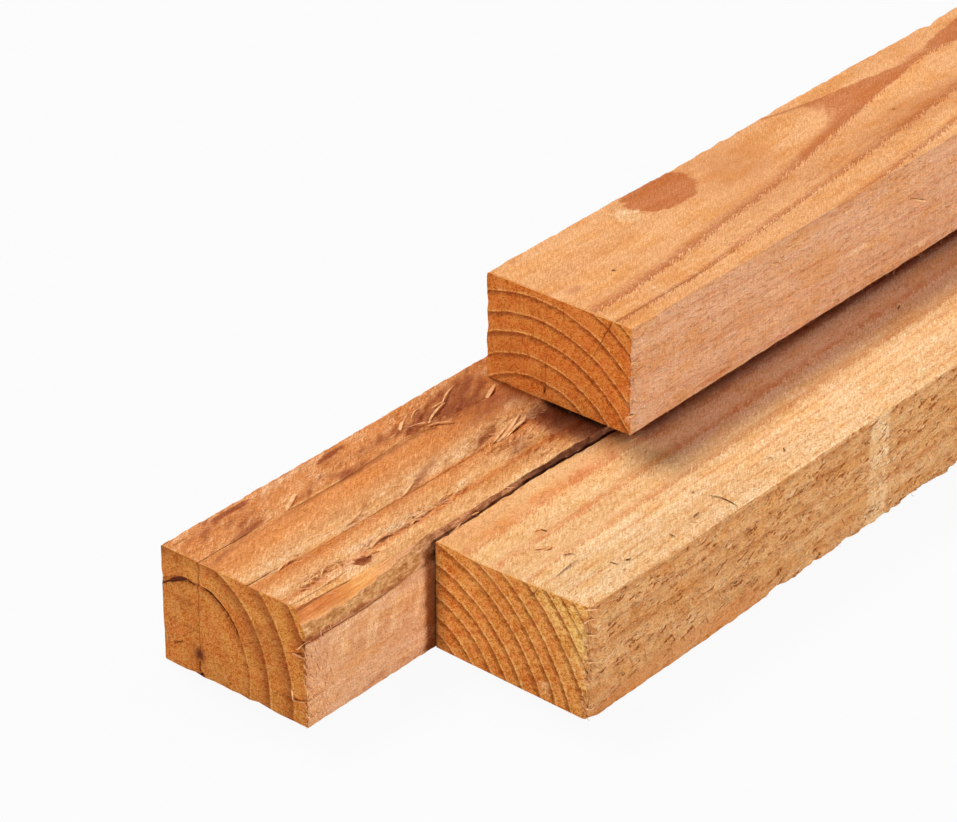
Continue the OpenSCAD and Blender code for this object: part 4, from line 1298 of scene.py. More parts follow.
def sawn_wood(name, look, batten):
    """Wood along the grain, with bark and the peeled surface where those masks are set."""
    made, g = new_material(name)
    side, torn = g.layer("side"), g.layer("torn")
    broad = g.grain(12, 110, 12, 2, 0.5, shift=(1, 5, 8))
    medium = g.grain(1.8, 38, 1.8, 3, 0.6, shift=(4, 9, 2))
    fine = g.grain(0.5, 7, 0.5, 3, 0.6)
    stipple = g.grain(0.55, 0.8, 0.55, 2, 0.7)
    slant = g.grain(0.5, 4.2, 0.5, 3, 0.65, turn=(0, 0, 36), shift=(3, 3, 3))
    saw = g.grain(30, 0.55, 8, 2, 0.6, turn=(9, 0, 0), shift=(0, 4, 4))
    wide = look.flake_width / MM
    tipped = (math.degrees(look.flake_lean), 0, math.degrees(look.flake_turn))
    flake, shadow, lit = g.flakes(wide, wide * 4.5, wide, look.flake_from, reach=wide / 3, turn=tipped)
    # crumbs: hollow holds the painted shadow beside each crumb, glint its painted highlight
    crumb, hollow, glint = g.flakes(0.7, 2.0, 0.7, 0.57, shift=(5, 1, 2), reach=0.35, detail=2.0)
    # ring lines, soft on their inner side and sharp on their outer side
    wobble = g.scaled(g.grain(1.4, 3.2, 1.4, 2, 0.6), 0.2, -0.1)
    toothed = g.times(g.minus(slant, 0.5), g.less(side), look.teeth)
    ring = g.plus(g.plus(g.layer("ring"), wobble), toothed)
    part = g.maths("FRACT", ring)
    dark = g.band(part, look.late_from, 0.93)
    dark = g.times(dark, g.less(g.band(part, 0.955, 1.0)))
    early = g.blend(side, look.early, look.side_early)
    late = g.blend(side, look.late, look.side_late)
    base = g.blend(dark, early, late)
    ragged = g.total((0.07, medium), (0.07, fine), (0.04, stipple), (0.06, slant))
    ragged = g.times(ragged, g.band(side, 0, 1, 1, 0.4))
    base = g.blend(g.band(g.plus(g.layer("pale"), ragged), 0.1, 0.85, 0, 0.9), base, look.pale)
    base = g.blend(g.band(g.plus(g.layer("stain"), ragged), 0.1, 0.9, 0, 0.95), base, look.stain)
    # warmer and cooler patches
    mottle = g.grain(7, 22, 7, 3, 0.6, shift=(6, 1, 4))
    base = g.blend(g.band(mottle, 0.46, 0.68, 0, look.mottle), base, g.tone(base, -1.0, (0.03, 0.13, 0.34)))
    # darker and paler fibres, with a painted highlight and a painted shadow at the two edges of each raised
    # flake and crumb
    top_only = g.less(side)
    weave = g.mingle(side, slant, saw)
    streaky = look.fibrous
    value = g.total((0.35, broad), (0.5 * streaky, medium), (0.6 * streaky, fine), (0.8, stipple))
    value = g.scaled(g.total((1.0, weave)), g.band(side, 0, 1, look.slant, 0.4), value)
    value = g.times(value, look.streaks)
    value = g.scaled(g.times(torn, lit), 1.6 * look.flake_lit, value)
    value = g.scaled(g.times(torn, flake), 0.5 * look.flake_lit, value)
    rough_all = g.scaled(torn, 0.5, look.crumbs)
    value = g.scaled(g.times(rough_all, glint), 1.2, value)
    value = g.scaled(g.times(rough_all, hollow), -2.4, value)
    base = g.tone(base, value, (0.11, 0.2, 0.31))
    base = g.tone(base, g.times(torn, shadow, -4.0 * look.flake_dark), (0.095, 0.18, 0.27))
    # the cut edge: fibres of the end's colour bent over onto the wide face
    along = g.local(batten.place)
    front = g.scaled(along[0], batten.lead / batten.width, along[1])
    fringe = g.grain(1.0, 2.6, 1.0, 3, 0.65, shift=(8, 1, 1))
    front = g.minus(front, g.scaled(fringe, 0.026, -0.0115))
    bent = g.times(g.less(g.band(front, 0.0, 0.004)), top_only, 0.7)
    base = g.blend(bent, base, g.tone(look.end_sap, g.total((0.6, fine), (0.5, stipple)), (0.11, 0.25, 0.45)))
    # the peeled surface: smooth and orange
    peel_streak = g.grain(1.0, 20, 1.0, 4, 0.65, shift=(2, 2, 7))
    low_edge = g.less(g.band(g.scaled(peel_streak, 0.02, along[2]), 0.215, 0.232))
    skin = g.blend(g.band(along[1], 0.06, 0.17), tint(204, 120, 62), tint(232, 160, 86))
    skin = g.blend(g.times(low_edge, 0.8), skin, tint(236, 174, 108))
    value_peel = g.total((1.2, peel_streak), (0.4, broad), (0.7, fine), (0.5, stipple))
    peel = g.tone(skin, value_peel, (0.1, 0.19, 0.3))
    peeled = g.times(g.layer("peeled"), g.less(g.band(g.scaled(medium, 0.1, along[1]), 0.17, 0.34)))
    base = g.blend(peeled, base, peel)
    # bark: fibrous tan in front, flaky grey-brown further back, and darker still where it runs into the gap
    # beside the right batten: darker bark there, with painted shade
    scaly = g.grain(1.3, 2.6, 1.3, 4, 0.7)
    lumps = g.grain(3.0, 7.0, 3.0, 2, 0.5, shift=(1, 1, 6))
    upper = g.band(g.scaled(lumps, 0.016, along[2]), 0.188, 0.198)
    inner = g.blend(upper, tint(184, 108, 66), tint(214, 152, 94))
    value_bark = g.total((1.5, scaly), (0.8, lumps), (0.4, fine), (0.6, stipple))
    near_bark = g.tone(inner, value_bark, (0.16, 0.26, 0.4))
    patches = g.blend(g.band(lumps, 0.42, 0.58), tint(168, 108, 72), tint(214, 150, 104))
    patches = g.blend(g.band(g.scaled(lumps, 0.2, along[1]), 0.64, 0.74), patches, tint(112, 66, 44))
    far_bark = g.tone(patches, g.total((1.3, scaly), (0.5, stipple)), (0.2, 0.28, 0.36))
    rind = g.blend(g.band(g.scaled(lumps, 0.1, along[1]), 0.32, 0.4), near_bark, far_bark)
    rind = g.blend(g.band(scaly, 0.38, 0.32, 0, 0.75), rind, tint(122, 72, 44))
    rind = g.blend(g.band(scaly, 0.64, 0.7, 0, 0.6), rind, tint(230, 176, 124))
    bark = g.times(g.layer("bark"), g.less(g.layer("peeled")))
    base = g.blend(bark, base, rind)
    # painted shade in the pits, hollows and gaps that the deep mask marks, along with the dark wood of knots
    # and lenses; then the checks, darkened as painted shade
    hole = g.layer("deep")
    base = g.tone(base, g.times(hole, -3.0), (0.12, 0.22, 0.34))
    base = g.blend(g.times(g.band(hole, 0.5, 0.95), 0.85), base, look.pit)
    # each batten's shades, on the upper face only: darker wood, and shadows painted where the top batten shades
    # the faces below it
    ragged_x = g.plus(along[0], g.scaled(medium, 0.016, -0.008))
    for low, high, start, stop, pull in batten.shades:
        across = g.band(ragged_x, low / REACH, high / REACH)
        shade = g.times(across, g.band(along[1], start / REACH, stop / REACH), top_only)
        base = g.tone(base, g.times(shade, -1.0), pull)
    height = g.total((0.08, fine), (0.04, stipple), (0.06, medium), (0.05, weave))
    height = g.times(height, g.mingle(side, look.top_bump, 1.0))
    height = g.scaled(g.times(torn, flake), 0.7, height)
    height = g.scaled(g.times(rough_all, crumb), 0.35, height)
    height = g.mingle(peeled, height, g.times(peel_streak, 0.5))
    height = g.scaled(g.times(bark, scaly), 2.2, height)
    for points, half, strength in batten.top_checks:
        mask = g.trace(along[1], along[0], points, half, broken=stipple)
        mask = g.times(mask, g.times(top_only, strength))
        base, height = g.blend(mask, base, look.end_line), g.scaled(mask, -0.6, height)
    right_only = g.times(side, g.band(along[0], 0.2, 0.25))
    for points, half, strength in batten.side_checks:
        mask = g.trace(along[1], along[2], points, half, broken=stipple)
        mask = g.times(mask, g.times(right_only, strength))
        base, height = g.blend(mask, base, look.pit), g.scaled(mask, -0.6, height)
    g.finish(base, g.mingle(peeled, 0.85, 0.5), height, 0.8)
    return made


def end_wood(name, look, batten):
    """Wood across the grain: ring lines, rays and the stipple of a sawn end."""
    made, g = new_material(name)
    stipple = g.grain(0.55, 3.0, 0.55, 2, 0.7)
    coarse = g.grain(1.4, 6.0, 1.4, 3, 0.6, shift=(2, 0, 5))
    cloud = g.grain(8, 30, 8, 2, 0.5, shift=(7, 0, 1))
    scratch = g.grain(0.45, 3.0, 2.8, 3, 0.65, turn=(0, 54, 0), shift=(1, 0, 9))
    nick = g.grain(0.5, 3.0, 1.7, 2, 0.6, turn=(0, 62, 0), shift=(4, 2, 3))
    wobble = g.scaled(g.grain(1.2, 4, 1.2, 2, 0.6), 0.07, -0.035)
    ring = g.plus(g.layer("ring"), wobble)
    part, number = g.maths("FRACT", ring), g.maths("FLOOR", ring)
    seen = g.band(ring, look.rings_from - 0.8, look.rings_from + 0.6, 0.12, 1.0)
    # how far round a ring a point lies, for the broken latewood
    pith = batten.pith(0.0)
    middle = batten.place + np.array([float(pith[0]), 0.0, float(pith[1])])
    around = g.local(middle)
    angle = g.maths("ARCTAN2", around[2], around[0])
    squares = g.plus(g.times(around[0], around[0]), g.times(around[2], around[2]))
    far = g.times(g.maths("SQRT", squares), REACH)
    arc = g.times(angle, far)
    polar = g.add("ShaderNodeCombineXYZ", {0: g.times(arc, 1 / 2.2), 1: g.times(number, 7.3)})
    dash = g.band(g.speckle(polar, 1.0), 0.45, 0.53, 0.1, 1.0)
    spokes = g.add("ShaderNodeCombineXYZ", {0: g.times(angle, 45.0), 1: g.times(far, 0.1)})
    rays = g.speckle(spokes, 2.0)
    edge = look.line_share
    gone = g.less(g.band(part, 1 - 0.3 * edge, 1.0))
    soft = g.times(g.band(part, look.late_from, 0.97), gone, seen)
    block = g.times(g.band(part, 1 - 3.2 * edge, 1 - 2.0 * edge), gone, dash, seen)
    line = g.times(g.band(part, 1 - 1.5 * edge, 1 - 0.8 * edge), gone, seen, g.mingle(0.6, 1.0, dash))
    # the rim outside each ring: pale earlywood, and a painted highlight of the raised ring edge
    bright = g.times(g.less(g.band(part, 0.7 * edge, 1.6 * edge)), seen)
    sap = g.band(ring, look.sap_from - 1.5, look.sap_from + 1.5)
    base = g.blend(sap, look.end_early, look.end_sap)
    base = g.blend(g.times(soft, 0.72), base, look.end_late)
    base = g.blend(g.times(block, look.dashes), base, look.end_line)
    base = g.blend(g.times(line, look.lines), base, look.end_line)
    base = g.blend(g.times(bright, 0.6), base, look.end_bright)
    hue = g.grain(6, 20, 4, 3, 0.6, shift=(3, 3, 8))
    base = g.blend(g.band(hue, 0.4, 0.62), base, g.tone(base, 1.0, (0.02, 0.14, 0.14)))
    base = g.blend(g.band(hue, 0.52, 0.36, 0, 0.8), base, g.tone(base, -1.0, (0.05, 0.16, 0.2)))
    tuft = g.blend(0.45, look.end_bright, look.pale)
    base = g.blend(g.band(g.layer("pale"), 0.05, 0.9, 0.0, 0.9), base, tuft)
    base = g.blend(g.band(g.layer("stain"), 0.05, 0.9, 0.0, 0.85), base, look.end_late)
    value = g.total((0.5, cloud), (1.3, coarse), (1.7, stipple), (0.8, scratch), (0.45, rays))
    value = g.scaled(g.band(nick, 0.6, 0.68), -1.5, value)
    value = g.scaled(g.band(nick, 0.4, 0.33), 0.4, value)
    value = g.maths("MINIMUM", value, 1.15)
    base = g.tone(base, value, (0.105, 0.23, 0.44))
    # painted shade in the checks, hollows and gaps between tufts, here and in the check lines below, and the
    # dark core of the pith
    base = g.blend(g.band(g.layer("deep"), 0.2, 0.8), base, look.pit)
    height = g.total((0.03, stipple), (0.03, coarse), (0.03, scratch))
    height = g.scaled(g.band(nick, 0.6, 0.68), -0.12, height)
    height = g.scaled(bright, 0.25, height)
    height = g.scaled(line, -0.2, height)
    here = g.local(batten.place)
    for axis, points, half, strength, *swell in batten.end_checks:
        along, across = (here[0], here[2]) if axis == "x" else (here[2], here[0])
        broken = coarse if strength < 0.9 else None
        mask = g.trace(along, across, points, half, broken, swell[0] if swell else None)
        mask = g.times(mask, strength)
        base, height = g.blend(mask, base, look.pit), g.scaled(mask, -0.6, height)
    g.finish(base, 0.9, height, 0.8)
    return made


def fibre_wood(name, pale, dark):
    """Loose fibres: pale, with darker ones among them."""
    made, g = new_material(name)
    patch = g.grain(1.6, 2.2, 1.6, 1, 0.5)
    base = g.blend(g.band(patch, 0.35, 0.65), dark, pale)
    g.finish(base, 0.8, g.grain(0.3, 0.9, 0.3, 1, 0.5), 0.05)
    return made


# ---------------------------------------------------------------- fibres


def fibre_tree(material):
    """A node tree that turns seed points into curled, tapering fibres."""
    tree = bpy.data.node_groups.new("loose fibres", "GeometryNodeTree")
    face = tree.interface
    face.new_socket("Seeds", in_out="INPUT", socket_type="NodeSocketGeometry")
    for label, value in (("Length", 0.0026), ("Girth", 0.035), ("Curl", 0.35), ("Spread", 0.55)):
        face.new_socket(label, in_out="INPUT", socket_type="NodeSocketFloat").default_value = value
    face.new_socket("Seed", in_out="INPUT", socket_type="NodeSocketInt").default_value = 7
    face.new_socket("Fibres", in_out="OUTPUT", socket_type="NodeSocketGeometry")
    put = Graph(tree).add
    given, out = put("NodeGroupInput"), put("NodeGroupOutput")

    def mathed(operation, a, b):
        return put("ShaderNodeMath", {0: a, 1: b}, operation=operation).outputs[0]

    kinds = put("GeometryNodeGeometryToInstance")
    for bend, hook in ((0.25, 0.15), (0.9, -0.35), (0.5, 0.8)):
        rise = mathed("MULTIPLY", given.outputs["Curl"], bend)
        middle = put("ShaderNodeCombineXYZ", {0: hook * 0.5, 1: 0.55, 2: mathed("MULTIPLY", rise, 0.2)})
        tip = put("ShaderNodeCombineXYZ", {0: hook * 0.4, 1: 0.95, 2: rise})
        bends = {"Resolution": 3, "Middle": middle.outputs[0], "End": tip.outputs[0]}
        curve = put("GeometryNodeCurveQuadraticBezier", bends)
        along = put("GeometryNodeSplineParameter").outputs["Factor"]
        thin = put("ShaderNodeMapRange", {0: along, 1: 0.0, 2: 1.0, 3: 1.0, 4: 0.25}).outputs[0]
        profile = put("GeometryNodeCurvePrimitiveCircle", {"Resolution": 3, "Radius": 1.0})
        girth = mathed("MULTIPLY", thin, given.outputs["Girth"])
        skin = {"Curve": curve.outputs[0], "Profile Curve": profile.outputs[0]}
        skin |= {"Scale": girth, "Fill Caps": True}
        tree.links.new(put("GeometryNodeCurveToMesh", skin).outputs[0], kinds.inputs[0])
    points = put("GeometryNodeMeshToPoints", {"Mesh": given.outputs["Seeds"]})
    turn = put("GeometryNodeInputNamedAttribute", {"Name": "turn"}, data_type="FLOAT_VECTOR")
    reach = put("GeometryNodeInputNamedAttribute", {"Name": "reach"}, data_type="FLOAT")
    low = mathed("SUBTRACT", 1.0, given.outputs["Spread"])
    high = mathed("ADD", 1.0, given.outputs["Spread"])
    seed = given.outputs["Seed"]
    chance = put("FunctionNodeRandomValue", {2: low, 3: high, "Seed": seed}, data_type="FLOAT")
    size = mathed("MULTIPLY", chance.outputs[1], given.outputs["Length"])
    size = mathed("MULTIPLY", size, reach.outputs["Attribute"])
    which = put("FunctionNodeRandomValue", {4: 0, 5: 2, "Seed": seed}, data_type="INT")
    rotation = put("FunctionNodeEulerToRotation", {0: turn.outputs["Attribute"]})
    where_to = {"Points": points.outputs[0], "Rotation": rotation.outputs[0], "Scale": size}
    what = {"Instance": kinds.outputs[0], "Pick Instance": True, "Instance Index": which.outputs[2]}
    placed = put("GeometryNodeInstanceOnPoints", where_to | what)
    real = put("GeometryNodeRealizeInstances", {"Geometry": placed.outputs[0]})
    done = put("GeometryNodeSetMaterial", {"Geometry": real.outputs[0], "Material": material})
    tree.links.new(done.outputs[0], out.inputs[0])
    return tree


def seeds_mesh(name, places, aims, lifts, reaches):
    """Points that each hold the turn and size of one fibre."""
    turns = []
    for aim, lift in zip(aims, lifts):
        ahead = Vector(aim).normalized()
        up = Vector(lift)
        up = (up - ahead * up.dot(ahead)).normalized()
        across = ahead.cross(up)
        basis = np.array([across, ahead, up]).T
        turns.append(matrix_euler(basis))
    mesh = bpy.data.meshes.new(name)
    mesh.from_pydata([tuple(p) for p in places], [], [])
    turn = mesh.attributes.new("turn", "FLOAT_VECTOR", "POINT")
    turn.data.foreach_set("vector", np.array(turns, dtype=np.float32).ravel())
    write_layer(mesh, "reach", np.array(reaches))
    return mesh


def matrix_euler(basis):
    """XYZ Euler angles of a 3 by 3 turn."""
    sy = -basis[2, 0]
    y = math.asin(max(-1.0, min(1.0, sy)))
    if abs(sy) < 0.9999:
        return math.atan2(basis[2, 1], basis[2, 2]), y, math.atan2(basis[1, 0], basis[0, 0])
    return math.atan2(-basis[1, 2], basis[1, 1]), y, 0.0


def grow_fibres(context, name, seeds, material, curl):
    """Runs the fibre tree over the seeds and returns the plain mesh."""
    settings = context.scene.timber_stack
    maker = bpy.data.objects.new(name + "_maker", seeds)
    context.scene.collection.objects.link(maker)
    tree = fibre_tree(material)
    live = maker.modifiers.new("fibres", "NODES")
    live.node_group = tree
    given = {
        "Length": settings.fibre_length,
        "Girth": settings.fibre_girth,
        "Curl": curl,
        "Seed": settings.fibre_seed,
    }
    for item in tree.interface.items_tree:
        if item.name in given:
            live[item.identifier] = given[item.name]
    grown = bpy.data.meshes.new_from_object(maker.evaluated_get(context.evaluated_depsgraph_get()))
    maker.modifiers.clear()
    bpy.data.objects.remove(maker)
    grown.name = name
    if not grown.polygons:
        raise RuntimeError(name + ": no fibres grew")
    grown.materials.clear()
    grown.materials.append(material)
    keep_off_floor(grown)
    return grown


def keep_off_floor(mesh):
    """Presses anything that hangs below the floor flat onto it."""
    co = np.zeros(len(mesh.vertices) * 3, np.float32)
    mesh.vertices.foreach_get("co", co)
    co[2::3] = maximum(co[2::3], 0)
    mesh.vertices.foreach_set("co", co)
    mesh.update()


# Splinters, in groups: batten, face that they are measured from, how far they are lifted off the
# upper one, factor of their widths and thickness; then the points and width of each. x counts
# from the left face, or from the right one for RIGHT; z from the upper face or, for RIGHT, from
# the underside.
PALE_SPLINTERS = (
    # curls and slivers on the left batten's top
    ("left", TOP, -0.25, 1, 0.35, (
        (((45, 132, 0), (43.4, 140, 0.8), (41, 147, 1.2), (38.4, 153, 0.6)), 2.3),
        (((45.6, 135, 0), (44.2, 142, 0.9), (43.2, 149, 1.3), (41, 153, 1)), 1.5),
        (((44, 131, 0), (42.6, 137, 1.3), (40.6, 144, 1.6), (39.6, 149, 1.3)), 1.2),
        (((17.8, 46, 0), (16.8, 49, 1.1), (15.2, 53, 1.7), (14, 56, 1)), 2.3),
        (((12, 115, 0.1), (10.2, 118, 0.8), (8.5, 121.5, 0.4)), 1.5),
        (((9.5, 124, 0), (7.8, 128, 0.8), (7, 132, 0.5)), 0.8),
        (((16.6, 126, 0), (14.6, 131, 1), (13, 137, 1.3), (12, 141, 0.6)), 1.1),
        (((12.4, 138, 0.2), (10, 143, 1.4), (7.8, 148, 1.3), (6, 153, 0.4)), 0.75),
        (((10.4, 135, 0.3), (11.3, 138, 1.1), (10.7, 141, 0.7)), 0.9),
        (((12.6, 118.5, 0), (14.6, 122, 0.8), (17, 126, 0.9), (18.8, 129.5, 0.3)), 0.5),
        (((21, 154, 0), (20, 158, 1.2), (18, 163, 1.2)), 1.9),
        (((5, 49.2, 0.2), (3.4, 50.4, 0.8)), 0.7),
        (((57.2, 21, 0), (55.4, 24, 1.1), (55.2, 28, 1.2), (57, 30.5, 0.6)), 0.8),
        (((55.2, 17, 0), (54.2, 20, 0.8), (54.6, 24, 0.6)), 0.8),
        (((58.2, 46, 0), (56.8, 51, 0.9), (56, 57, 0.9), (57, 61, 0.3)), 1.4),
        (((58.6, 67, 0), (57.6, 72, 0.8), (57.4, 78, 0.5)), 1.2),
        (((56.6, 84, 0), (55.4, 88, 0.9), (56, 94, 0.5)), 1.1),
        (((60.5, 41, 0), (60.2, 45, 0.7), (61.5, 48, 0.4)), 1.2),
        (((41.5, 52, 0), (40.6, 57, 0.7), (39, 63, 0.5)), 1.1),
        (((43.4, 80, 0), (42.2, 85, 0.8), (40.4, 90, 0.6)), 1.3),
        (((43, 14, 0), (42.2, 18, 0.7), (41.8, 24, 0.5)), 1.4),
        (((17.6, 124, 0.25), (20.2, 128, 0.95), (24, 132.6, 0.75)), 0.6),
    )),
    # on its right arris
    ("left", RIGHT, 0, 1, 0.35, (
        (((0.4, 76, 44.4), (0.8, 79, 45), (0.4, 82, 46)), 1.1),
        (((0.2, 88.5, 46), (0.5, 90.5, 46.2), (0.3, 92.5, 45.6)), 1),
        (((-1, 108, 48), (0, 110, 47.6), (0.3, 112.5, 46.6)), 0.6),
    )),
    # curled fibres on its front corner
    ("left", RIGHT, 0, 1, 0.4, (
        (((-7.2, -0.2, 13.8), (-5.9, -0.6, 10), (-3, -0.9, 10.6), (0.5, -0.7, 11.6)), 1.7),
        (((-0.4, -0.7, 11.2), (0.9, 1.5, 11.6), (0.8, 5, 12), (0.4, 9.5, 11.8)), 0.9),
        (((-6.2, -0.2, 29.2), (-3, -0.9, 29.9), (-1, -0.9, 29.8), (0.8, 0.4, 30.4)), 2),
        (((-4.6, -0.2, 31), (-2.4, -0.9, 33.2), (-0.8, -0.7, 35.2), (0.4, 0.2, 36.4)), 1.5),
        (((-1.4, -0.2, 26.4), (0.3, -0.6, 25.2), (0.9, 1.6, 24.4)), 1),
        (((-1.2, -0.2, 18.4), (0.3, -0.6, 16.4), (0.5, -0.4, 13.8)), 0.9),
        (((-1, -0.2, 6.4), (0.5, -0.5, 5.2), (0.6, 1.2, 3.4)), 0.8),
    )),
    # and on the right batten's
    ("right", RIGHT, 0, 1.9, 0.45, (
        (((-3.5, -0.3, 43.6), (-2, -0.9, 45.6), (0.2, -0.6, 46.8), (0.9, 3, 45.6), (0.8, 7, 42.8)), 0.9),
        (((-1.8, -0.3, 39.6), (-0.4, -1, 42.2), (0.8, 0.6, 42.8), (0.9, 4, 41)), 0.9),
        (((-1, -0.3, 35.6), (0.4, -0.9, 36.8), (1, 1.4, 36), (0.8, 4, 34.4)), 0.9),
        (((-2.2, -0.2, 31), (-0.2, -0.9, 32.6), (0.8, 0.4, 33.4)), 0.7),
        (((-0.8, -0.2, 24), (0.5, -0.8, 25.4), (1, 1.2, 25), (0.7, 4.2, 23)), 1),
        (((-1.6, -0.2, 17.6), (0.2, -0.8, 16.4), (0.9, 0.8, 15)), 0.8),
        (((-2.6, -0.2, 8), (-0.6, -0.8, 6.2), (0.7, 0.4, 5.2), (0.8, 3.2, 5.6)), 0.9),
        (((-5, -0.2, 45.8), (-3.6, -0.8, 47.2), (-1.4, 0.8, 47.8)), 0.6),
    )),
    # curls on the right batten
    ("right", TOP, 0.1, 0.9, 0.3, (
        (((30.2, 19.4, 0), (31.8, 21, 0.7), (32.6, 23.4, 0.4)), 1),
        (((33.6, 21.2, 0), (34.2, 23, 0.6), (33.8, 25, 0.3)), 1),
        (((21.8, 29, 0), (22.6, 31.2, 0.6), (24.6, 32.6, 0.3)), 1),
    )),
    # chips on the top batten
    ("top", RIGHT, 0, 1, 1.1, (
        (((-0.6, -0.3, 8), (0.3, -0.5, 8.3), (0.9, 1.6, 8.8)), 2),
    )),
    ("top", RIGHT, 0, 1, 1.3, (
        (((0, 178.5, 27.8), (1.4, 181.5, 26.6), (1.9, 185, 25), (0.5, 189, 23.2)), 3.4),
    )),
    ("top", RIGHT, 0, 1, 0.5, (
        (((0, 84, 37.4), (0.5, 87, 36.2), (0.3, 90.5, 35.4)), 0.9),
    )),
    ("top", TOP, 0, 1, 0.3, (
        (((57.4, 105.2, 0), (59.4, 104.6, 0.6), (60.8, 105.6, 0.2)), 0.6),
    )),
)
DARK_SPLINTERS = (
    # slivers lying on the right batten
    ("right", TOP, 0.28, 1.1, 0.3, (
        (((57, 87.2, 0), (61, 88.4, 0), (66, 88, 0), (70, 87, 0)), 0.5),
        (((57.5, 28.5, 0), (61, 29.2, 0)), 0.4),
        (((60.9, 33.2, 0), (62.2, 34.8, 0)), 0.7),
        (((62.2, 56.7, 0), (63.8, 56.5, 0), (65.6, 56.3, 0)), 0.4),
        (((61.6, 71.5, 0), (61.3, 75.5, 0)), 0.5),
        (((59, 130, 0), (57, 131.8, 0)), 0.6),
        (((57.6, 122, 0), (58.2, 123.5, 0)), 0.45),
        (((48.6, 10, 0), (47.6, 17, 0), (47.2, 23.5, 0)), 0.35),
        (((41.2, 22.6, 0), (43.6, 26.1, 0)), 0.4),
        # this sliver is a painted shadow beside the pale curl lying there
        (((23.2, 31.4, 0), (25.8, 31.9, 0)), 0.55),
        (((50.4, 85, 0), (50.9, 86, 0)), 0.5),
        (((26.4, 248, 0), (25, 251.5, 0)), 0.7),
    )),
    # specks on the top batten
    ("top", TOP, 0.15, 1, 0.3, (
        (((34.9, 31, 0), (36, 32, 0)), 0.9),
        (((36.2, 211.4, 0), (37.1, 212.4, 0)), 0.8),
    )),
)


def splinter(points, width, thick):
    """Vertices and faces of one flat, tapering splinter along its points, in mm."""
    pts = np.array(points, float)
    smooth = []
    for i in range(len(pts) - 1):
        before, after = pts[max(i - 1, 0)], pts[min(i + 2, len(pts) - 1)]
        for t in np.linspace(0, 1, 4, endpoint=False):
            a, b = pts[i], pts[i + 1]
            square, cube = 2 * before - 5 * a + 4 * b - after, 3 * a - before - 3 * b + after
            smooth.append(0.5 * (2 * a + (b - before) * t + square * t**2 + cube * t**3))
    smooth.append(pts[-1])
    pts = np.array(smooth)
    ways = np.gradient(pts, axis=0)
    verts, faces = [], []
    for i, (p, way) in enumerate(zip(pts, ways)):
        way = way / (np.linalg.norm(way) + 1e-9)
        t = i / (len(pts) - 1)
        size = (0.35 + 0.65 * math.sin(math.pi * min(1, t * 1.6 + 0.2) * 0.5)) * (1 - t**3 * 0.85)
        up = np.array([0, 0, 1.0]) if abs(way[2]) < 0.9 else np.array([1.0, 0, 0])
        across = np.cross(way, up)
        across = across / np.linalg.norm(across)
        over = np.cross(across, way)
        for c, s in ((1, 0), (0.3, 1), (-1, 0), (-0.3, -1)):
            verts.append(p + across * width * size * c * 0.5 + over * thick * size * s * 0.5)
    for i in range(len(pts) - 1):
        for k in range(4):
            a, b = i * 4 + k, i * 4 + (k + 1) % 4
            faces.append((a, b, b + 4, a + 4))
    last = (len(pts) - 1) * 4
    faces.append((3, 2, 1, 0))
    faces.append((last, last + 1, last + 2, last + 3))
    return verts, faces


# ---------------------------------------------------------------- operators


def add_piece(context, name, mesh, node=None):
    piece = bpy.data.objects.new(name, mesh)
    context.scene.collection.objects.link(piece)
    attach(piece, "root")
    if node:
        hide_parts(node)
    return piece


def battens(context):
    """The three battens as the settings and the frame give them, by name."""
    s = context.scene.timber_stack
    left = LeftBatten("left_batten")
    right = RightBatten("right_batten", skew=s.end_skew, inner=s.inner_height / MM, length=left.length)
    top = TopBatten("top_batten", turn=s.top_turn, skew=s.top_skew, length=left.length)
    return {"left": left, "right": right, "top": top}


def make_batten(context, which):
    s = context.scene.timber_stack
    look, batten = getattr(s, which), battens(context)[which]
    coarse = 1.0
    fine, cross = s.fine_step / MM * coarse, s.cross_step / MM * coarse
    ends = ((batten.length - 40, batten.far_step), (batten.length, 4))
    rows = rows_along(batten.length, [(stop, step * fine) for stop, step in batten.stretches + ends])
    mesh = batten_mesh(batten, batten.node + "_wood", rows, cross, coarse)
    mesh.materials.append(sawn_wood(batten.node + " along the grain", look, batten))
    mesh.materials.append(end_wood(batten.node + " end grain", look, batten))
    return add_piece(context, batten.node + "_wood", mesh, batten.node)


class TIMBER_OT_left_batten(bpy.types.Operator):
    """Builds the left batten with its waney edge, ring shake and heart check"""

    bl_idname = "timber.left_batten"
    bl_label = "Left batten"

    def execute(self, context):
        make_batten(context, "left")
        return {"FINISHED"}


class TIMBER_OT_right_batten(bpy.types.Operator):
    """Builds the right batten with its rough side"""

    bl_idname = "timber.right_batten"
    bl_label = "Right batten"

    def execute(self, context):
        make_batten(context, "right")
        return {"FINISHED"}


class TIMBER_OT_top_batten(bpy.types.Operator):
    """Builds the top batten with its ring islands"""

    bl_idname = "timber.top_batten"
    bl_label = "Top batten"

    def execute(self, context):
        make_batten(context, "top")
        return {"FINISHED"}


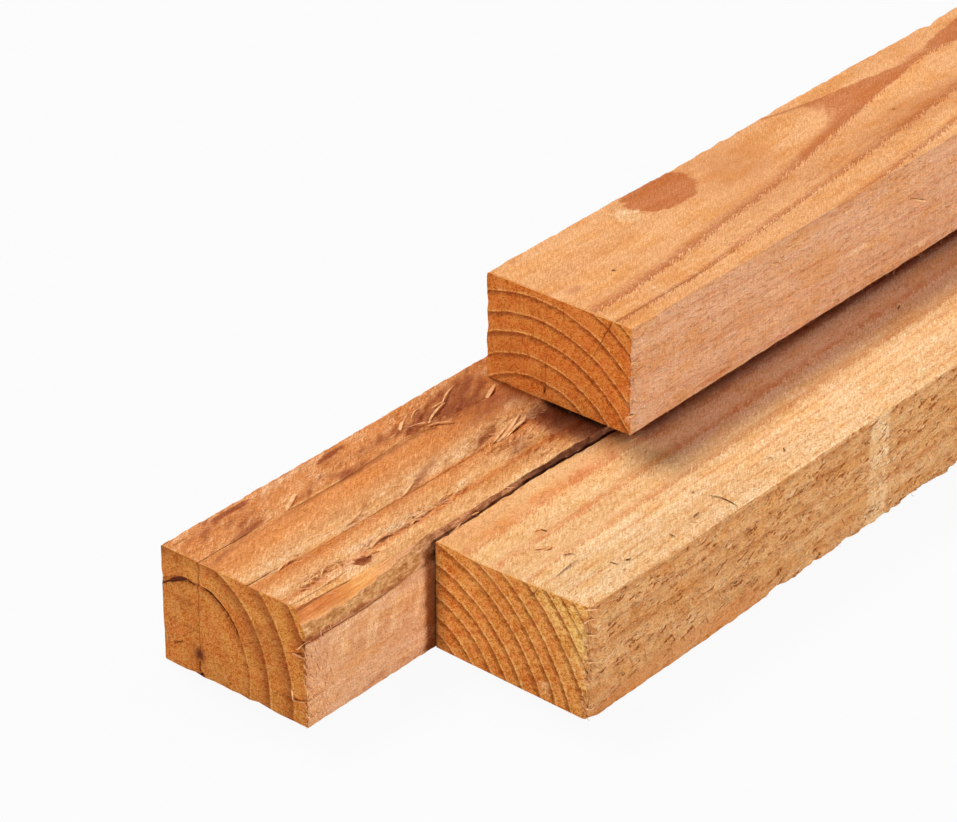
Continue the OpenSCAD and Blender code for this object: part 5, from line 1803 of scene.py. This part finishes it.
class TIMBER_OT_fibres(bpy.types.Operator):
    """Grows loose fibres on the sawn arrises and the torn faces"""

    bl_idname = "timber.fibres"
    bl_label = "Loose fibres"

    def execute(self, context):
        settings = context.scene.timber_stack
        rng = np.random.default_rng(settings.fibre_seed)
        few = 1.0
        for which, batten in battens(context).items():
            places, aims, lifts, reaches = [], [], [], []
            for many, x_range, y_range, z_range, aim, lift, reach in batten.fibres:
                n = int(many * few)
                x, y = rng.uniform(*x_range, n), rng.uniform(*y_range, n)
                z = rng.uniform(*z_range, n) if z_range else batten.top_at(x)
                places.append(batten.to_stack(x, y, z))
                way = np.array(aim) * rng.choice([-1, 1], n)[:, None] + rng.normal(0, 0.22, (n, 3))
                way = way - 0.75 * np.outer(way @ np.array(lift), np.array(lift)) / np.dot(lift, lift)
                aims.append(way)
                lifts.append(np.array(lift) + rng.normal(0, 0.2, (n, 3)))
                reaches.append(reach * rng.uniform(0.4, 1.3, n) ** 1.5)
            seeds = seeds_mesh(which + "_seeds", *(np.concatenate(a) for a in (places, aims, lifts, reaches)))
            look = getattr(settings, which)
            finish = fibre_wood(which + " loose fibres", look.side_early, look.side_late)
            grown = grow_fibres(context, which + "_fibres", seeds, finish, 0.4)
            add_piece(context, which + "_fibres", grown)
        return {"FINISHED"}


class TIMBER_OT_splinters(bpy.types.Operator):
    """Lays the larger splinters and chips that the saw left"""

    bl_idname = "timber.splinters"
    bl_label = "Splinters"

    def execute(self, context):
        made = battens(context)
        for name, groups, shades, slot in (
            ("pale_splinters", PALE_SPLINTERS, (tint(238, 188, 134), tint(218, 156, 100)), "left_batten"),
            ("dark_splinters", DARK_SPLINTERS, (tint(116, 68, 36), tint(78, 44, 24)), "right_batten"),
        ):
            verts, faces = [], []
            for which, side, lift, widen, thick, rows in groups:
                batten = made[which]
                for points, width in rows:
                    if side == TOP:
                        points = [(x, y, batten.top_at(x) + z + lift) for x, y, z in points]
                    else:
                        points = [(batten.width + x, y, z) for x, y, z in points]
                    v, f = splinter(points, widen * width, thick)
                    faces += [tuple(i + len(verts) for i in face) for face in f]
                    verts += [tuple(batten.to_stack(*p).tolist()) for p in v]
            mesh = bpy.data.meshes.new(name)
            mesh.from_pydata(verts, [], faces)
            keep_off_floor(mesh)
            mesh.materials.append(fibre_wood(name.replace("_", " "), *shades))
            mesh.polygons.foreach_set("use_smooth", np.ones(len(mesh.polygons), bool))
            add_piece(context, name, mesh)
        return {"FINISHED"}


class TIMBER_OT_studio(bpy.types.Operator):
    """Lays the floor and sets the lamps and the camera"""

    bl_idname = "timber.studio"
    bl_label = "Studio"

    def execute(self, context):
        s = context.scene.timber_studio
        scene = context.scene
        scene.view_settings.view_transform = "Standard"
        mesh = bpy.data.meshes.new("studio_floor")
        far = FLOOR_REACH
        mesh.from_pydata([(-far, -far, 0), (far, -far, 0), (far, far, 0), (-far, far, 0)], [], [(0, 1, 2, 3)])
        floor = bpy.data.objects.new("studio_floor", mesh)
        floor.location.z = -FLOOR_DROP
        scene.collection.objects.link(floor)
        paint, g = new_material("studio floor")
        seen = g.seen_straight()
        matt = g.add("ShaderNodeBsdfDiffuse", {"Color": s.floor})
        glow = g.add("ShaderNodeEmission", {"Color": (1.0, 1.0, 1.0), "Strength": 1.0})
        shares = {0: g.times(seen, FLOOR_GLOW), 1: matt.outputs[0], 2: glow.outputs[0]}
        both = g.add("ShaderNodeMixShader", shares)
        g.add("ShaderNodeOutputMaterial", {0: both.outputs[0]})
        mesh.materials.append(paint)
        floor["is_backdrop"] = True

        world = scene.world or bpy.data.worlds.new("studio")
        scene.world = world
        world.use_nodes = True
        g = Graph(world.node_tree)
        strength = g.mingle(g.seen_straight(), s.ambient, 1.0)
        sky = g.add("ShaderNodeBackground", {"Color": (1.0, 1.0, 1.0), "Strength": strength})
        g.add("ShaderNodeOutputWorld", {0: sky.outputs[0]})

        for name, power, angle, way in (
            ("key lamp", s.key, 20.0, (27, -9, -47)),
            ("side lamp", s.fill, 2.4, (-100, -4, -6)),
            ("front lamp", s.front, 9.0, (3, 100, -4)),
            ("back lamp", s.back, 45.0, (-22, -85, -90)),
        ):
            lamp = bpy.data.lights.new(name, "SUN")
            lamp.energy = power
            lamp.angle = math.radians(angle)
            holder = bpy.data.objects.new(name, lamp)
            holder.rotation_euler = Vector(way).to_track_quat("-Z", "Y").to_euler()
            holder.location = (0, 0, 3)
            scene.collection.objects.link(holder)

        camera = bpy.data.cameras.new("camera")
        camera.lens = s.lens
        camera.sensor_width = 36
        camera.clip_start, camera.clip_end = 0.05, 60
        holder = bpy.data.objects.new("camera", camera)
        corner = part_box("left_batten")[0]
        holder.location = corner + Vector(TO_CAMERA)
        holder.rotation_euler = (math.pi / 2 - s.view_tip, 0, s.view_turn)
        scene.collection.objects.link(holder)
        scene.camera = holder
        return {"FINISHED"}


class TIMBER_PT_panel(bpy.types.Panel):
    """Lists what the stack is made of"""

    bl_label = "Timber stack"
    bl_idname = "TIMBER_PT_panel"
    bl_space_type = "VIEW_3D"
    bl_region_type = "UI"
    bl_category = "Timber"

    def draw(self, context):
        column = self.layout.column()
        for operator in OPERATORS:
            column.operator(operator.bl_idname)
        for settings in (context.scene.timber_stack, context.scene.timber_studio):
            for key in settings.bl_rna.properties.keys():
                if key not in ("rna_type", "name", "left", "right", "top"):
                    column.prop(settings, key)


OPERATORS = (
    TIMBER_OT_left_batten,
    TIMBER_OT_right_batten,
    TIMBER_OT_top_batten,
    TIMBER_OT_fibres,
    TIMBER_OT_splinters,
    TIMBER_OT_studio,
)
CLASSES = (TimberLook, StackSettings, StudioSettings, *OPERATORS, TIMBER_PT_panel)


def register():
    for made in CLASSES:
        bpy.utils.register_class(made)
    bpy.types.Scene.timber_stack = PointerProperty(type=StackSettings)
    bpy.types.Scene.timber_studio = PointerProperty(type=StudioSettings)


def unregister():
    del bpy.types.Scene.timber_studio
    del bpy.types.Scene.timber_stack
    for made in reversed(CLASSES):
        bpy.utils.unregister_class(made)


# the colours that each batten is given below, and then its strengths
COLOURS = (
    "early", "late", "side_early", "side_late", "end_early", "end_late", "end_sap", "end_line", "end_bright",
    "stain", "pale", "pit",
)
LOOKS = {
    "left": (
        (
            (218, 138, 76), (234, 174, 114), (232, 178, 134), (224, 166, 120), (206, 124, 56), (158, 84, 36),
            (210, 130, 56), (142, 72, 26), (226, 150, 76), (162, 86, 48), (240, 190, 142), (92, 42, 26),
        ),
        dict(
            late_from=0.3, line_share=0.09, dashes=0.3, lines=0.4, streaks=1.2, crumbs=0.35, rings_from=3.0,
            sap_from=5.6, slant=0.9, fibrous=0.5, flake_width=3.0 * MM, flake_turn=math.radians(22),
            flake_from=0.53, flake_dark=0.9, teeth=0.2, mottle=0.9, flake_lit=0.65, top_bump=0.8,
        ),
    ),
    "right": (
        (
            (238, 184, 126), (226, 156, 100), (220, 163, 107), (205, 144, 90), (213, 132, 62), (172, 96, 42),
            (230, 170, 92), (150, 82, 32), (234, 168, 94), (222, 140, 84), (242, 202, 153), (118, 68, 34),
        ),
        dict(
            late_from=0.62, line_share=0.12, dashes=0.6, lines=0.45, streaks=1.0, crumbs=0.35, sap_from=11.2,
            teeth=1.1, top_bump=0.55, slant=0.9, fibrous=0.4, flake_from=0.6, flake_lean=0.3, flake_lit=0.8,
            flake_dark=1.8, flake_width=1.6 * MM,
        ),
    ),
    "top": (
        (
            (226, 163, 108), (192, 118, 74), (216, 162, 122), (210, 152, 114), (202, 114, 48), (156, 78, 32),
            (212, 136, 58), (142, 70, 28), (228, 152, 80), (192, 114, 66), (240, 194, 148), (98, 48, 26),
        ),
        dict(
            top_bump=0.4, sap_from=11.0, late_from=0.74, line_share=0.09, dashes=0.55, lines=0.45, streaks=1.05,
            crumbs=0.1, slant=0.85, fibrous=0.5, flake_lit=0.9, flake_dark=0.9, teeth=0.7, mottle=1.4,
            flake_width=1.1 * MM, flake_from=0.585,
        ),
    ),
}


def choose_colours(stack):
    """Gives each batten its own wood."""
    for which, (colours, strengths) in LOOKS.items():
        look = getattr(stack, which)
        for key, value in zip(COLOURS, colours):
            setattr(look, key, tint(*value))
        for key, value in strengths.items():
            setattr(look, key, value)


def main():
    register()
    choose_colours(bpy.context.scene.timber_stack)
    for operator in OPERATORS:
        group, name = operator.bl_idname.split(".")
        getattr(getattr(bpy.ops, group), name)()
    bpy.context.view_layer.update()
    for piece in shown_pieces():
        if piece.type == "MESH":
            print(piece.name, sum(len(p.vertices) - 2 for p in piece.data.polygons), "triangles")


if __name__ == "__main__":
    main()
